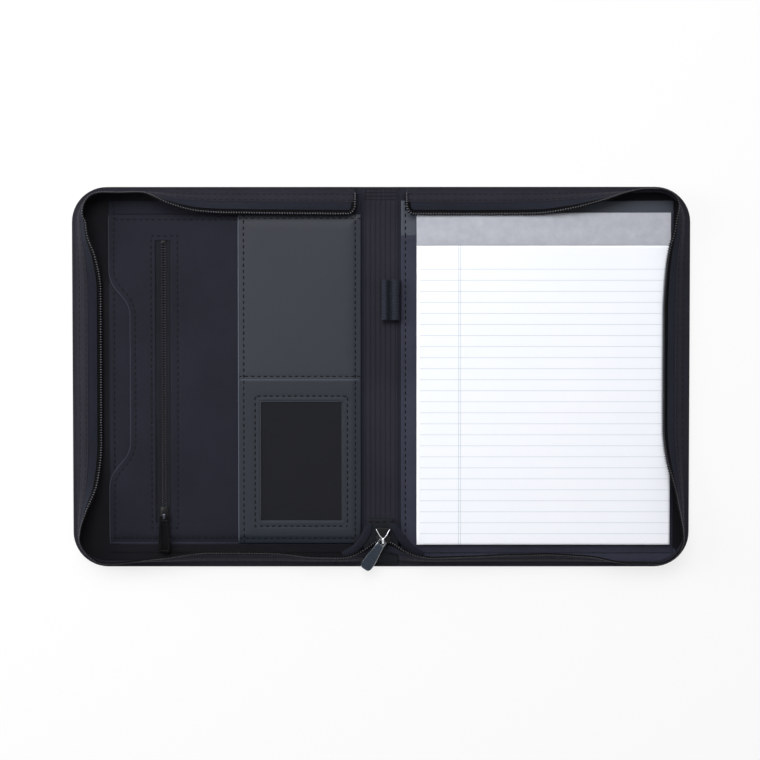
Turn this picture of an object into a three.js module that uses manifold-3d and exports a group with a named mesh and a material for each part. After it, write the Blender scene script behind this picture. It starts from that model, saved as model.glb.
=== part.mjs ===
// Zippered document folder, lying open and flat: two board covers on a fabric spine, a standing gusset
// with half of a coil zip round each cover, pockets on the left and a writing pad on the right.
// Millimetres. The origin is under the middle of the spine, +X points to the right cover, +Y to the
// top edge of the folder and +Z up, out of its open face.
import * as THREE from 'three';
import { mergeVertices } from 'three/addons/utils/BufferGeometryUtils.js';
import Module from 'manifold-3d';

const wasm = await Module();
wasm.setup();

// Overall sizes. The covers are sized to the pad that they hold.
const padWidth = 215.9;
const padLength = 283;
const padLeft = 30.4;          // from the middle of the spine
const padToEdge = 17.7;        // from the pad to the cover's outer edge
const headMargin = 22.5;       // cover above the pad
const footMargin = 19.5;       // cover below it
const cornerRadius = 30;
const spineWidth = 38.4;       // between the two folds
const foldHeight = 3;          // the folds bend in the lining's plane
const seamGap = 0.3;           // sewn pieces that meet
const padRight = padLeft + padWidth;
const coverReach = padRight + padToEdge;
const folderHeight = padLength + headMargin + footMargin;
const padTop = folderHeight / 2 - headMargin;
const padBottom = padTop - padLength;
const foldLine = spineWidth / 2;

// Layers of a cover, from the table up
const skinThickness = 0.9;
const skinRim = 0.8;
const boardThickness = 2;
const liningThickness = 0.4;
const liningTop = skinThickness + boardThickness + liningThickness;

// Left panels
const panelMargin = 32;        // cover's outer edge to the left panels
const panelEndMargin = 12;     // cover's ends to the panels
const panelOverFold = 1.8;     // the panels reach past the fold
const pocketTopDrop = 11.7;
const pocketBottomRise = 8.5;
const pocketBackThickness = 0.5;
const pocketRoom = 1.95;       // between the back and the front of the document pocket
const pocketFrontThickness = 0.5;
const pocketHem = 6;           // sewn edge that closes a pocket
const notchDepth = 18;
const notchFromTop = 49.2;
const notchFromBottom = 49.3;
const notchEase = 38;          // length of each sloping end of the thumb notch
const notchLip = 2;
const panelLeft = coverReach - panelMargin;
const panelSpineEdge = foldLine - panelOverFold;
const panelHalfHeight = folderHeight / 2 - panelEndMargin;
const pocketTop = panelHalfHeight - pocketTopDrop;
const pocketBottom = -panelHalfHeight + pocketBottomRise;

// Inner zip, closed, with its slider at the bottom end
const zipWindowWidth = 13.5;
const zipFromEdge = 39.5;      // panel's outer edge to the window
const zipFromTop = 21.9;
const zipFromBottom = 17.3;
const chainOffset = 6.2;       // window's spine edge to the chain
const zipTapeTuck = 5;         // tape hidden under the panel's edge
const zipTapeThickness = 0.4;
const zipTapeOver = 2;         // tape past the window's ends
const innerCoilWidth = 2.2;
const innerCoilBite = 0.9;     // how far a tooth reaches past the centre line
const innerCoilPitch = 5;
const innerCoilThickness = 1.3;
const stopLength = 2.4;
const stopWidth = 4.4;
const stopRise = 0.3;
const bagThickness = 0.3;
const bagMargin = 12.5;        // the bag's sides beyond the zip opening
const bagSpineRoom = 12.6;
const bagDrop = 10;            // the bag's end seams beyond it
const zipWindowLeft = panelLeft - zipFromEdge;
const zipWindowRight = zipWindowLeft - zipWindowWidth;
const zipCentre = zipWindowRight + chainOffset;
const zipWindowTop = pocketTop - zipFromTop;
const zipWindowBottom = pocketBottom + zipFromBottom;

// Leather card pocket and identity window
const leatherWidth = 104.2;
const splitDrop = 0.8;         // the two panels meet below the pocket's middle
const leatherRim = 4;
const leatherRoom = 0.4;
const leatherThickness = 0.6;
const windowOuterMargin = 18.6;
const windowSpineMargin = 15.6;
const windowHead = 18;
const windowFoot = 19.1;
const meshThickness = 0.3;
const meshTuck = 6;
const leatherLeft = panelSpineEdge + leatherWidth;
const leatherSplit = (pocketTop + pocketBottom) / 2 - splitDrop;
const windowLeft = leatherLeft - windowOuterMargin;
const windowRight = panelSpineEdge + windowSpineMargin;
const windowTop = leatherSplit - windowHead;
const windowBottom = pocketBottom + windowFoot;

// Right panels and the writing pad
const bandDepth = 37.5;        // leather band at the top
const bandMargin = 3.4;        // beyond the pad
const bandThickness = 0.6;
const padAbovePocket = 19.2;
const padPocketRoom = 1.6;
const padPocketThickness = 0.5;
const padPocketRim = 2.2;
const hemHeight = 4.8;
const hemThickness = 0.3;
const padHeaderDepth = 27.8;
const padHeaderThickness = 0.3;
const padHeaderWrap = 0.4;
const padTravel = 6;
const cardboardThickness = 0.7;
const sheetsThickness = 2.5;
const topSheetThickness = 0.3;
const layerGap = 0.1;
const bandBottom = panelHalfHeight - bandDepth;
const bandRight = padRight + bandMargin;
const padPocketTop = padTop - padAbovePocket;

// Gusset band: fabric standing on the lining, with the zip tape sewn along it and the coil on its edge
const bandInset = 4.5;         // from the cover's edge to the foot of the band
const footWidth = 3.4;
const footThickness = 0.8;
const gussetThickness = 1;
const gussetHeight = 11.5;
const uprightTape = 5.4;       // tape above the gusset where the band stands up
const foldedTape = 9.2;        // and where it is folded over
const leastTape = 0.8;
const tapeThickness = 0.6;
const coilWidth = 2;
const coilThickness = 2;
const coilPitch = 5;
const coilDrop = 3;            // length of fabric below the coil's end beside the spine
const coilBack = 0.5;          // the coil's back lies on the tape's edge
const bandClearance = 1.2;     // folded band above the pad
const bandFromFold = 0.7;      // from the fold to where the coil turns down beside the spine
const turnRadiusOfBand = 8;
const gussetSpineEnd = 35;     // where the stiffened gusset stops at the bottom of each cover
const spineGussetMargin = 4.2; // from the fold to the spine's gusset
const bandStart = foldLine + bandFromFold;
const foldPieceEnd = foldLine - spineGussetMargin;

// Spine
const spineLiningThickness = 0.4;
const spineEndMargin = 1;
const stitchBandDepth = 10;    // seam band at the top, where the ribs are pressed flat
const ribPitch = 4.3;
const ribHeight = 0.25;
const pressedRib = 0.05;       // what is left of the ribs under that seam
const loopLeft = 0.5;
const loopWidth = 15.3;
const loopFromTop = 79.4;
const loopLength = 34.5;
const loopRise = 9.4;
const loopThickness = 1.2;
const loopCrease = 1.4;
const loopEase = 3.6;
const loopTop = folderHeight / 2 - loopFromTop;
const loopRight = loopLeft + loopWidth;
const loopBottom = loopTop - loopLength;

// Main slider and its pull
const sliderX = 1.7;
const sliderFromEdge = 28;
const sliderLength = 13;
const sliderWidth = 13;
const sliderTailWidth = 8.4;
const sliderPlate = 0.8;
const sliderRoom = 2.6;        // between its two plates
const sliderSlot = 1.2;        // for the tape, between its flanges
const sliderAboveGusset = 0.9;
const chainInSlider = 2.2;     // from the slider's side to the end of the coil
const bridgeSpan = 4.2;
const bridgeWidth = 1.6;
const bridgeThickness = 0.7;
const bridgeForward = 4;       // of the slider's middle
const pinRadius = 0.75;
const pinClearance = 0.2;
const chainClearance = 0.2;    // a slider's plates clear the coils
const pullThickness = 1.6;
const pullLength = 30;
const pullTipWidth = 10.4;
const pullNeckWidth = 6.8;
const pullEyeWidth = 4.6;
const pullEyeLength = 3.4;
const pullCorner = 6;
const pullSkew = 33 * Math.PI / 180;
const pullDroop = 5 * Math.PI / 180;
const tabHalfWidth = 10.3;
const tabBeyondSlider = 13.9;
const tabFoot = 2.4;
const apronBeyondSlider = 6.5;
const apronThickness = 0.6;
const apronDrop = 1;           // apron below the gusset's crest at the slider
const apronStart = 17;         // from the band's foot to where the apron lies level
const crestWidth = 3;
const crestSag = 0.4;
const crestRise = 3;           // most that the crest stands above the slider's place
const sliderY = -folderHeight / 2 + sliderFromEdge;
const tabTop = sliderY + tabBeyondSlider;
const apronTop = sliderY + apronBeyondSlider;

// Inner slider and its pull
const innerSliderRise = 6.9;   // above the window's bottom end
const innerSliderLength = 14;
const innerSliderWidth = 9.2;
const innerSliderTail = 6.6;
const innerSliderPlate = 0.5;
const innerSlotRoom = 0.6;
const innerBridgeWidth = 2;
const innerBridgeThickness = 0.6;
const innerBridgeForward = 1;
const innerPullLength = 32;
const innerPullWidth = 10.4;
const innerPullNeck = 8.4;
const innerPullThickness = 1.3;
const innerPullRim = 0.35;
const innerPullCorner = 3;
const rimWidth = 1;
const innerSliderY = zipWindowBottom + innerSliderRise;

// Heights worked out from the layers
const spineTop = liningTop;
const pocketBackTop = liningTop + pocketBackThickness;
const bagTop = pocketBackTop + bagThickness;
const pocketFrontBase = pocketBackTop + pocketRoom;
const pocketFrontTop = pocketFrontBase + pocketFrontThickness;
const leatherBase = pocketFrontTop + leatherRoom;
const leatherTop = leatherBase + leatherThickness;
const padPocketBase = liningTop + padPocketRoom;
const padPocketFace = padPocketBase + padPocketThickness;
const cardboardBase = liningTop + bandThickness + layerGap;
const sheetsBase = padPocketFace + hemThickness + layerGap;
const sheetsTop = sheetsBase + sheetsThickness;
const topSheetTop = sheetsTop + topSheetThickness;
const headerTop = topSheetTop + padHeaderThickness;
const spineLiningReach = foldLine - seamGap
  - Math.hypot(panelOverFold, leatherTop - foldHeight);

// Solids and meshes

function weld(geometry) {
  const plain = geometry.clone();
  for (const name of Object.keys(plain.attributes)) if (name !== 'position') plain.deleteAttribute(name);
  return mergeVertices(plain, 1e-3);
}

function solid(geometry) {
  const merged = weld(geometry);
  const vertProperties = new Float32Array(merged.attributes.position.array);
  return new wasm.Manifold(new wasm.Mesh({ numProp: 3, vertProperties, triVerts: new Uint32Array(merged.index.array) }));
}

function geometryOf(manifold) {
  const { vertProperties, triVerts, numProp } = manifold.getMesh();
  const places = new Float32Array(vertProperties.length / numProp * 3);
  for (let i = 0; i < places.length / 3; i++) {
    for (let k = 0; k < 3; k++) places[3 * i + k] = vertProperties[numProp * i + k];
  }
  const geometry = new THREE.BufferGeometry();
  geometry.setAttribute('position', new THREE.BufferAttribute(places, 3));
  geometry.setIndex([...triVerts]);
  return geometry;
}

const joined = (...parts) => geometryOf(parts.map(solid).reduce((a, b) => a.add(b)));
const cut = (body, ...tools) => geometryOf(tools.map(solid).reduce((a, b) => a.subtract(b), solid(body)));

function slab(shape, low, high, curveSegments = 8) {
  return new THREE.ExtrudeGeometry(shape, { depth: high - low, bevelEnabled: false, curveSegments })
    .translate(0, 0, low);
}

function block(x0, x1, y0, y1, z0, z1) {
  return new THREE.BoxGeometry(x1 - x0, y1 - y0, z1 - z0)
    .translate((x0 + x1) / 2, (y0 + y1) / 2, (z0 + z1) / 2);
}

function rectangle(x0, x1, y0, y1) {
  return new THREE.Shape([[x0, y0], [x1, y0], [x1, y1], [x0, y1]].map(([x, y]) => new THREE.Vector2(x, y)));
}

// A profile drawn as width across and height up, pushed out along X or along Y.
const alongX = (shape, x0, x1, curveSegments = 8) =>
  slab(shape, 0, x1 - x0, curveSegments).rotateX(Math.PI / 2).rotateZ(Math.PI / 2).translate(x0, 0, 0);
const alongY = (shape, y0, y1, curveSegments = 8) =>
  slab(shape, 0, y1 - y0, curveSegments).rotateX(Math.PI / 2).translate(0, y1, 0);

// A closed skin through rings of equally many points, with its two end rings capped.
function loft(rings) {
  const count = rings[0].length;
  const places = rings.flat().flatMap((p) => [p.x, p.y, p.z]);
  const faces = [];
  for (let i = 0; i + 1 < rings.length; i++) {
    for (let k = 0; k < count; k++) {
      const a = i * count + k;
      const b = i * count + (k + 1) % count;
      faces.push(a, b, b + count, a, b + count, a + count);
    }
  }
  const cap = (ring, offset, closing) => {
    const outline = ring.flat2d;
    const around = Math.sign(THREE.ShapeUtils.area(outline));
    for (const corners of THREE.ShapeUtils.triangulateShape(outline, [])) {
      const turned = Math.sign(THREE.ShapeUtils.area(corners.map((k) => outline[k]))) !== around;
      if (turned === closing) corners.reverse();
      faces.push(...corners.map((k) => offset + k));
    }
  };
  cap(rings[0], 0, false);
  cap(rings[rings.length - 1], (rings.length - 1) * count, true);
  const geometry = new THREE.BufferGeometry();
  geometry.setAttribute('position', new THREE.BufferAttribute(new Float32Array(places), 3));
  geometry.setIndex(faces);
  return facingOut(geometry);
}

function facingOut(geometry) {
  const place = geometry.attributes.position;
  const index = geometry.index.array;
  const corner = (i) => new THREE.Vector3().fromBufferAttribute(place, index[i]);
  let volume = 0;
  for (let i = 0; i < index.length; i += 3) volume += corner(i).dot(corner(i + 1).cross(corner(i + 2)));
  if (volume < 0) {
    for (let i = 0; i < index.length; i += 3) [index[i + 1], index[i + 2]] = [index[i + 2], index[i + 1]];
  }
  return geometry;
}

// Materials
const finish = (color, roughness, metalness = 0) => new THREE.MeshStandardMaterial({ color, roughness, metalness });
const coverCloth = finish(0x2a2a2f, 0.75);
const liningCloth = finish(0x2b2d3a, 0.8);
const gussetCloth = finish(0x232327, 0.8);
const tapeCloth = finish(0x1d1d21, 0.8);
const coilPlastic = finish(0x17171a, 0.45);
const slateLeather = finish(0x3f444d, 0.5);
const greyboard = finish(0x8b8378, 0.9);
const windowNet = finish(0x222428, 0.7);
const darkMetal = finish(0x34363c, 0.25, 0.9);
const blackMetal = finish(0x17171b, 0.4, 0.5);
const elastic = finish(0x1f2026, 0.85);
const paper = finish(0xf2f4fb, 0.85);
const padBinding = finish(0xb2b4bc, 0.6);

// Flat outlines, drawn for the right cover and mirrored for the left

function coverOutline(inset, spineEdge) {
  const reach = coverReach - inset;
  const half = folderHeight / 2 - inset;
  const r = Math.max(cornerRadius - inset, 0.5);
  const s = new THREE.Shape();
  s.moveTo(spineEdge, -half);
  s.lineTo(reach - r, -half);
  s.absarc(reach - r, -half + r, r, -Math.PI / 2, 0, false);
  s.lineTo(reach, half - r);
  s.absarc(reach - r, half - r, r, 0, Math.PI / 2, false);
  s.lineTo(spineEdge, half);
  return s;
}

const mirrorX = (geometry) => facingOut(weld(geometry.clone().scale(-1, 1, 1)));
const onSide = (side, geometry) => (side < 0 ? mirrorX(geometry) : geometry);

function outerSkin(side) {
  const whole = slab(coverOutline(0, foldLine + seamGap / 2), 0, liningTop - liningThickness);
  const room = slab(coverOutline(skinRim, foldLine - 1), skinThickness, liningTop);
  return onSide(side, cut(whole, room));
}

const coverBoard = (side) => onSide(side,
  slab(coverOutline(skinRim + seamGap, foldLine + 2 * seamGap), skinThickness, skinThickness + boardThickness));
const coverLining = (side) => onSide(side,
  slab(coverOutline(seamGap, foldLine + seamGap), liningTop - liningThickness, liningTop));

// The band round a cover. A station is one place along the cover's edge: runs are counted from the
// spine's top end, 0 to 1 along the top, 1 to 2 round the corner, 2 to 3 down the side, 3 to 4 round
// the lower corner and 4 to 5 back along the bottom to the main slider.
const leanLeft = [[0, 1], [0.4, 0.95], [0.63, 0.85], [0.74, 0.55], [0.86, 0.12], [1.2, 0.12], [1.7, 0.32],
  [2.04, 0.55], [2.12, 0.78], [2.22, 1], [2.7, 1], [2.84, 0.84], [2.93, 0.48], [3, 0.24], [3.6, 0.16],
  [4, 0.06], [4.2, 0.26], [4.4, 0.48], [4.58, 0.48], [4.8, 0.3], [4.89, 0.33], [4.95, 0.6], [5, 0.92]];
const leanRight = [[0, 1], [0.52, 0.98], [0.64, 0.78], [0.76, 0.48], [0.87, 0.14], [0.96, 0], [1.3, 0.02],
  [1.75, 0.24], [2, 0.42], [2.09, 0.58], [2.19, 0.85], [2.29, 1], [2.66, 1], [2.76, 0.84], [2.86, 0.5],
  [2.94, 0.32], [3, 0.22], [3.6, 0.1], [4.1, 0.06], [4.25, 0.32], [4.42, 0.42], [4.65, 0.28], [4.82, 0.2],
  [4.9, 0.32], [4.95, 0.62], [5, 0.92]];

function leanAt(side, run) {
  const keys = side < 0 ? leanLeft : leanRight;
  let i = 0;
  while (i + 2 < keys.length && run > keys[i + 1][0]) i += 1;
  const slope = (k) => {
    const [before, after] = [keys[Math.max(k - 1, 0)], keys[Math.min(k + 1, keys.length - 1)]];
    const level = (keys[k][1] - before[1]) * (after[1] - keys[k][1]) <= 0;
    return level ? 0 : (after[1] - before[1]) / (after[0] - before[0]);
  };
  const span = keys[i + 1][0] - keys[i][0];
  const t = Math.min(Math.max((run - keys[i][0]) / span, 0), 1);
  const ease = [2 * t ** 3 - 3 * t ** 2 + 1, t ** 3 - 2 * t ** 2 + t, 3 * t ** 2 - 2 * t ** 3, t ** 3 - t ** 2];
  return ease[0] * keys[i][1] + ease[1] * span * slope(i) + ease[2] * keys[i + 1][1] + ease[3] * span * slope(i + 1);
}

const edgeX = coverReach - bandInset;
const edgeY = folderHeight / 2 - bandInset;
const edgeRadius = cornerRadius - bandInset;
const topRun = edgeX - edgeRadius - bandStart;
const sliderSide = (side) => side * sliderX + sliderWidth / 2 - chainInSlider;
const bottomRun = (side) => edgeX - edgeRadius - sliderSide(side);

// Foot of the band and the direction in which it folds over, for the right cover.
function footAt(side, run) {
  const corner = edgeX - edgeRadius;
  const level = edgeY - edgeRadius;
  const turn = (angle, y) => ({
    x: corner + edgeRadius * Math.cos(angle), y: y + edgeRadius * Math.sin(angle),
    inX: -Math.cos(angle), inY: -Math.sin(angle) });
  if (run <= 1) return { x: bandStart + topRun * run, y: edgeY, inX: 0, inY: -1 };
  if (run <= 2) return turn(Math.PI / 2 * (2 - run), level);
  if (run <= 3) return { x: edgeX, y: level - 2 * level * (run - 2), inX: -1, inY: 0 };
  if (run <= 4) return turn(-Math.PI / 2 * (run - 3), -level);
  return { x: corner - bottomRun(side) * (run - 4), y: -edgeY, inX: 0, inY: 1 };
}

const foldedRise = topSheetTop + bandClearance - liningTop;
const gussetFold = Math.acos(Math.min(foldedRise / gussetHeight, 1));

// The band's own curve: how far in and how high it is after a length of fabric, and its heading.
function bandCurve(lean, length) {
  const legs = [[gussetHeight / 2, lean * (gussetFold - 0.14)], [gussetHeight / 2, lean * (gussetFold + 0.14)],
    [uprightTape / 2, lean * 1.4], [Infinity, lean * 1.56]];
  let [across, up, left, heading] = [0, 0, length, legs[0][1]];
  for (const [leg, angle] of legs) {
    const step = Math.min(leg, left);
    if (step <= 0) break;
    across += step * Math.sin(angle);
    up += step * Math.cos(angle);
    left -= step;
    heading = angle;
  }
  return { across, up, heading };
}

const tapeReach = (lean) => gussetHeight + uprightTape + (foldedTape - uprightTape) * lean;

// A point of the band in space: a length up the fabric, and an offset square to it, outwards.
function bandPoint(side, run, length, offset) {
  const foot = footAt(side, run);
  const curve = bandCurve(leanAt(side, run), length);
  const across = curve.across - offset * Math.cos(curve.heading);
  const up = curve.up + offset * Math.sin(curve.heading);
  return new THREE.Vector3(
    side * (foot.x + foot.inX * across), foot.y + foot.inY * across, liningTop + up);
}

const runAtBottom = (side, x) => 4 + (edgeX - edgeRadius - x) / bottomRun(side);
const runAtTop = (x) => (x - bandStart) / topRun;

// Runs between two places: finer round the corners and where the fold changes.
function stations(from, to, perStraight, perCorner) {
  const list = [from];
  for (let k = 0; k < 5; k++) {
    const n = k % 2 ? perCorner : perStraight;
    for (let i = 0; i < n; i++) {
      const run = k + i / n;
      if (run > from + 0.004 && run < to - 0.004) list.push(run);
    }
  }
  return [...list, to];
}

function ringOf(points, flat) {
  points.flat2d = flat;
  return points;
}

// A strip of the band between two lengths of fabric, of even thickness.
function bandStrip(side, runs, low, high, thickness, steps = 2) {
  return loft(runs.map((run) => {
    const [a, b] = [low(run), high(run)];
    const lengths = Array.from({ length: steps + 1 }, (_, i) => a + (b - a) * i / steps);
    const outer = lengths.map((l) => [l, thickness / 2]);
    const inner = lengths.map((l) => [l, -thickness / 2]).reverse();
    const flat = [...outer, ...inner].map(([l, o]) => new THREE.Vector2(o, l));
    return ringOf([...outer, ...inner].map(([l, o]) => bandPoint(side, run, l, o)), flat);
  }));
}

// The gusset has a flat foot, sewn down outside it, so its section is an L.
function gussetStrip(side, runs) {
  return loft(runs.map((run) => {
    const foot = footAt(side, run);
    const onFoot = (out, up) => new THREE.Vector3(
      side * (foot.x - foot.inX * out), foot.y - foot.inY * out, liningTop + up);
    const half = gussetThickness / 2;
    const walls = [[gussetHeight / 2, half], [gussetHeight, half], [gussetHeight, -half], [gussetHeight / 2, -half]];
    const flat = [[-footWidth, 0], [-footWidth, footThickness], [-half, footThickness],
      ...walls.map(([l, o]) => [-o, l]), [half, 0]];
    return ringOf([onFoot(footWidth, 0), onFoot(footWidth, footThickness), onFoot(half, footThickness),
      ...walls.map(([l, o]) => bandPoint(side, run, l, o)), onFoot(-half, 0)],
    flat.map(([x, y]) => new THREE.Vector2(x, y)));
  }));
}

const gussetEnd = bandStart + coilThickness / 2 + seamGap;

function coverGusset(side) {
  return gussetStrip(side, stations(runAtTop(gussetEnd), runAtBottom(side, gussetSpineEnd), 16, 6));
}

function softGusset(side) {
  const [from, to] = [runAtBottom(side, gussetSpineEnd - seamGap), runAtBottom(side, foldPieceEnd)];
  const middle = [0, 0.25, 0.5, 0.75, 1].map((t) => from + (to - from) * t);
  return gussetStrip(side, middle);
}

// The zip tape starts where the coil has turned down, so its end is cut to the turn's curve.
function turnedTop(side, run) {
  const full = tapeReach(leanAt(side, run));
  const gone = turnRadiusOfBand - (run * topRun);
  return gone <= 0 ? full : full - turnRadiusOfBand + Math.sqrt(Math.max(turnRadiusOfBand ** 2 - gone ** 2, 0));
}

function coverTape(side) {
  const first = runAtTop(gussetEnd + 1.2);
  const start = [first, runAtTop(gussetEnd + 3), runAtTop(gussetEnd + 5)];
  const runs = [...start, ...stations(runAtTop(bandStart + turnRadiusOfBand), 5, 16, 6)];
  const low = () => gussetHeight + seamGap;
  const high = (run) => Math.max(turnedTop(side, run) - coilWidth / 2 - seamGap, gussetHeight + seamGap + leastTape);
  return bandStrip(side, runs, low, high, tapeThickness, 2);
}

// Half a coil zip: each turn of the coil is a tooth that stands out past the tape's edge.
function coverCoil(side) {
  const places = [];
  const straight = tapeReach(leanAt(side, 0)) - turnRadiusOfBand;
  for (let l = coilDrop; l < straight; l += coilPitch / 2) places.push({ run: 0, length: l, out: [1, 0] });
  const arcSteps = Math.round(Math.PI * turnRadiusOfBand / coilPitch);
  for (let i = 0; i <= arcSteps; i++) {
    const angle = Math.PI / 2 * i / arcSteps;
    const run = turnRadiusOfBand * (1 - Math.cos(angle)) / topRun;
    const length = tapeReach(leanAt(side, run)) - turnRadiusOfBand * (1 - Math.sin(angle));
    places.push({ run, length, out: [Math.cos(angle), Math.sin(angle)] });
  }
  const lengths = [topRun - turnRadiusOfBand, edgeRadius * Math.PI / 2, 2 * (edgeY - edgeRadius),
    edgeRadius * Math.PI / 2, bottomRun(side)];
  lengths.forEach((metres, k) => {
    const n = Math.round(metres / coilPitch) * 2;
    const first = k ? k : turnRadiusOfBand / topRun;
    for (let i = 1; i <= n; i++) {
      const run = first + (k + 1 - first) * i / n;
      places.push({ run, length: tapeReach(leanAt(side, run)), out: [0, 1] });
    }
  });
  return loft(places.map(({ run, length, out }, i) => {
    const tooth = i % 2 ? coilWidth : coilWidth * 0.45;
    const back = { run: run + coilBack * out[0] / topRun, length: length - coilBack * out[1] };
    const tip = bandPoint(side, run - tooth * out[0] / topRun, length + tooth * out[1], 0);
    return ringOf([bandPoint(side, back.run, back.length, coilThickness / 2), tip,
      bandPoint(side, back.run, back.length, -coilThickness / 2)],
    [new THREE.Vector2(-1, 0), new THREE.Vector2(0, 1), new THREE.Vector2(1, 0)]);
  }));
}

// Left pockets

// The front of the document pocket, with a thumb notch in its open outer edge and the zip's opening.
function pocketFront() {
  const [left, right] = [-panelLeft, -panelSpineEdge];
  const deep = left + notchDepth;
  const [notchTop, notchBottom] = [pocketTop - notchFromTop, pocketBottom + notchFromBottom];
  const s = new THREE.Shape();
  s.moveTo(left, pocketBottom);
  s.lineTo(right, pocketBottom);
  s.lineTo(right, pocketTop);
  s.lineTo(left, pocketTop);
  s.lineTo(left, notchTop);
  s.bezierCurveTo(left + notchLip, notchTop - notchEase / 2, deep, notchTop - notchEase / 2, deep, notchTop - notchEase);
  s.lineTo(deep, notchBottom + notchEase);
  s.bezierCurveTo(deep, notchBottom + notchEase / 2, left + notchLip, notchBottom + notchEase / 2, left, notchBottom);
  const inside = block(left - 1, right - pocketHem, pocketBottom + pocketHem, pocketTop - pocketHem,
    pocketBackTop - 1, pocketFrontBase);
  const zipWindow = block(-zipWindowLeft, -zipWindowRight, zipWindowBottom, zipWindowTop,
    pocketBackTop, pocketFrontTop + 1);
  return cut(slab(s, pocketBackTop, pocketFrontTop, 5), inside, zipWindow);
}

function zipBag() {
  return block(-zipWindowLeft - bagMargin, -panelSpineEdge - bagSpineRoom, zipWindowBottom - bagDrop, zipWindowTop + bagDrop,
    pocketBackTop, bagTop);
}

function innerTape(hand) {
  const inner = -zipCentre + hand * (innerCoilWidth + seamGap / 2);
  const outer = hand < 0 ? -zipWindowLeft - zipTapeTuck : -zipWindowRight + zipTapeTuck;
  return block(Math.min(inner, outer), Math.max(inner, outer), zipWindowBottom - zipTapeOver, zipWindowTop + zipTapeOver,
    pocketFrontBase - zipTapeThickness, pocketFrontBase);
}

const coilBase = pocketFrontBase - zipTapeThickness / 2 - innerCoilThickness / 2;
const innerCoilTop = coilBase + innerCoilThickness;

// Straight half of the closed inner zip: a comb whose teeth lie in the gaps of the other half.
function innerCoil(hand) {
  const from = innerSliderY + innerSliderLength * 0.15;
  const to = zipWindowTop - stopLength - 2 * seamGap;
  const n = Math.floor((to - from) / innerCoilPitch) * 2;
  const step = (to - from) / n;
  const edge = [];
  for (let i = 0; i <= n; i++) {
    const reach = i % 2 ? innerCoilBite : -innerCoilBite;
    const x = -zipCentre + reach + hand * seamGap;
    edge.push(new THREE.Vector2(x, from + step * i));
  }
  const back = -zipCentre + hand * innerCoilWidth;
  const outline = [...edge, new THREE.Vector2(back, to), new THREE.Vector2(back, from)];
  return slab(new THREE.Shape(outline), coilBase, innerCoilTop);
}

function innerStop(y) {
  return block(-zipCentre - stopWidth / 2, -zipCentre + stopWidth / 2, y - stopLength / 2, y + stopLength / 2,
    pocketFrontBase + layerGap, innerCoilTop + stopRise);
}

function cardPocket() {
  const [l, r, b, t] = [-leatherLeft, -panelSpineEdge, leatherSplit + seamGap / 2, pocketTop];
  const inside = block(l + leatherRim, r - leatherRim, b + leatherRim, t + 1, pocketFrontTop - 1, leatherBase);
  return cut(block(l, r, b, t, pocketFrontTop, leatherTop), inside);
}

function windowFrame() {
  const [l, r, b, t] = [-leatherLeft, -panelSpineEdge, pocketBottom, leatherSplit - seamGap / 2];
  const inside = block(l + leatherRim, r - leatherRim, b + leatherRim, t - leatherRim,
    pocketFrontTop - 1, leatherBase);
  const opening = block(-windowLeft, -windowRight, windowBottom, windowTop, pocketFrontTop, leatherTop + 1);
  return cut(block(l, r, b, t, pocketFrontTop, leatherTop), inside, opening);
}

function windowMesh() {
  return block(-windowLeft - meshTuck, -windowRight + meshTuck, windowBottom - meshTuck, windowTop + meshTuck,
    leatherBase - meshThickness, leatherBase);
}

// Right panels and pad

const padBand = () => block(panelSpineEdge, bandRight, bandBottom, panelHalfHeight, liningTop, liningTop + bandThickness);

// Pocket for the pad's card back: open at the top, where it has a raised hem.
function padPocket() {
  const [l, r, b, t] = [panelSpineEdge, bandRight, -panelHalfHeight, padPocketTop];
  const hemFace = padPocketFace + hemThickness;
  const inside = block(l + padPocketRim, r - padPocketRim, b + padPocketRim, t + 1, liningTop - 1, padPocketBase);
  const overBand = block(l - 1, r + 1, bandBottom - seamGap, t + 1, liningTop - 1, padPocketBase);
  const belowHem = block(l - 1, r + 1, b - 1, t - hemHeight, padPocketFace, hemFace + 1);
  return cut(block(l, r, b, t, liningTop, hemFace), inside, overBand, belowHem);
}

const bodyTop = padTop - padHeaderWrap - layerGap * 2;
const cardboard = () => block(padLeft, padRight, padBottom, bodyTop,
  cardboardBase, cardboardBase + cardboardThickness);

// The sheets lie over the pocket and reach down to the cardboard above its slit.
function padSheets() {
  const s = new THREE.Shape();
  const stepY = padPocketTop + padTravel + 2 * seamGap;
  s.moveTo(padBottom, sheetsBase);
  s.lineTo(stepY, sheetsBase);
  s.lineTo(stepY, cardboardBase + cardboardThickness);
  s.lineTo(bodyTop, cardboardBase + cardboardThickness);
  s.lineTo(bodyTop, sheetsTop);
  s.lineTo(padBottom, sheetsTop);
  return alongX(s, padLeft, padRight);
}

// Binding strip folded over the head of the pad.
function padHeader() {
  const s = new THREE.Shape();
  const [back, front, wrap] = [padTop, padTop - padHeaderDepth, padHeaderWrap];
  s.moveTo(front, sheetsTop);
  s.lineTo(back - wrap, sheetsTop);
  s.lineTo(back - wrap, cardboardBase);
  s.lineTo(back, cardboardBase);
  s.lineTo(back, headerTop - wrap);
  s.lineTo(back - wrap, headerTop);
  s.lineTo(front, headerTop);
  return alongX(s, padLeft, padRight);
}

const topSheet = () => block(padLeft, padRight, padBottom, padTop - padHeaderDepth - seamGap, sheetsTop, topSheetTop);

// Spine

const spineSkin = () => block(-foldLine + seamGap / 2, foldLine - seamGap / 2, -folderHeight / 2, folderHeight / 2,
  0, skinThickness);

const spineFiller = () => block(-spineLiningReach, spineLiningReach, -folderHeight / 2 + spineEndMargin,
  folderHeight / 2 - spineEndMargin, skinThickness, spineTop - spineLiningThickness);

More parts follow.
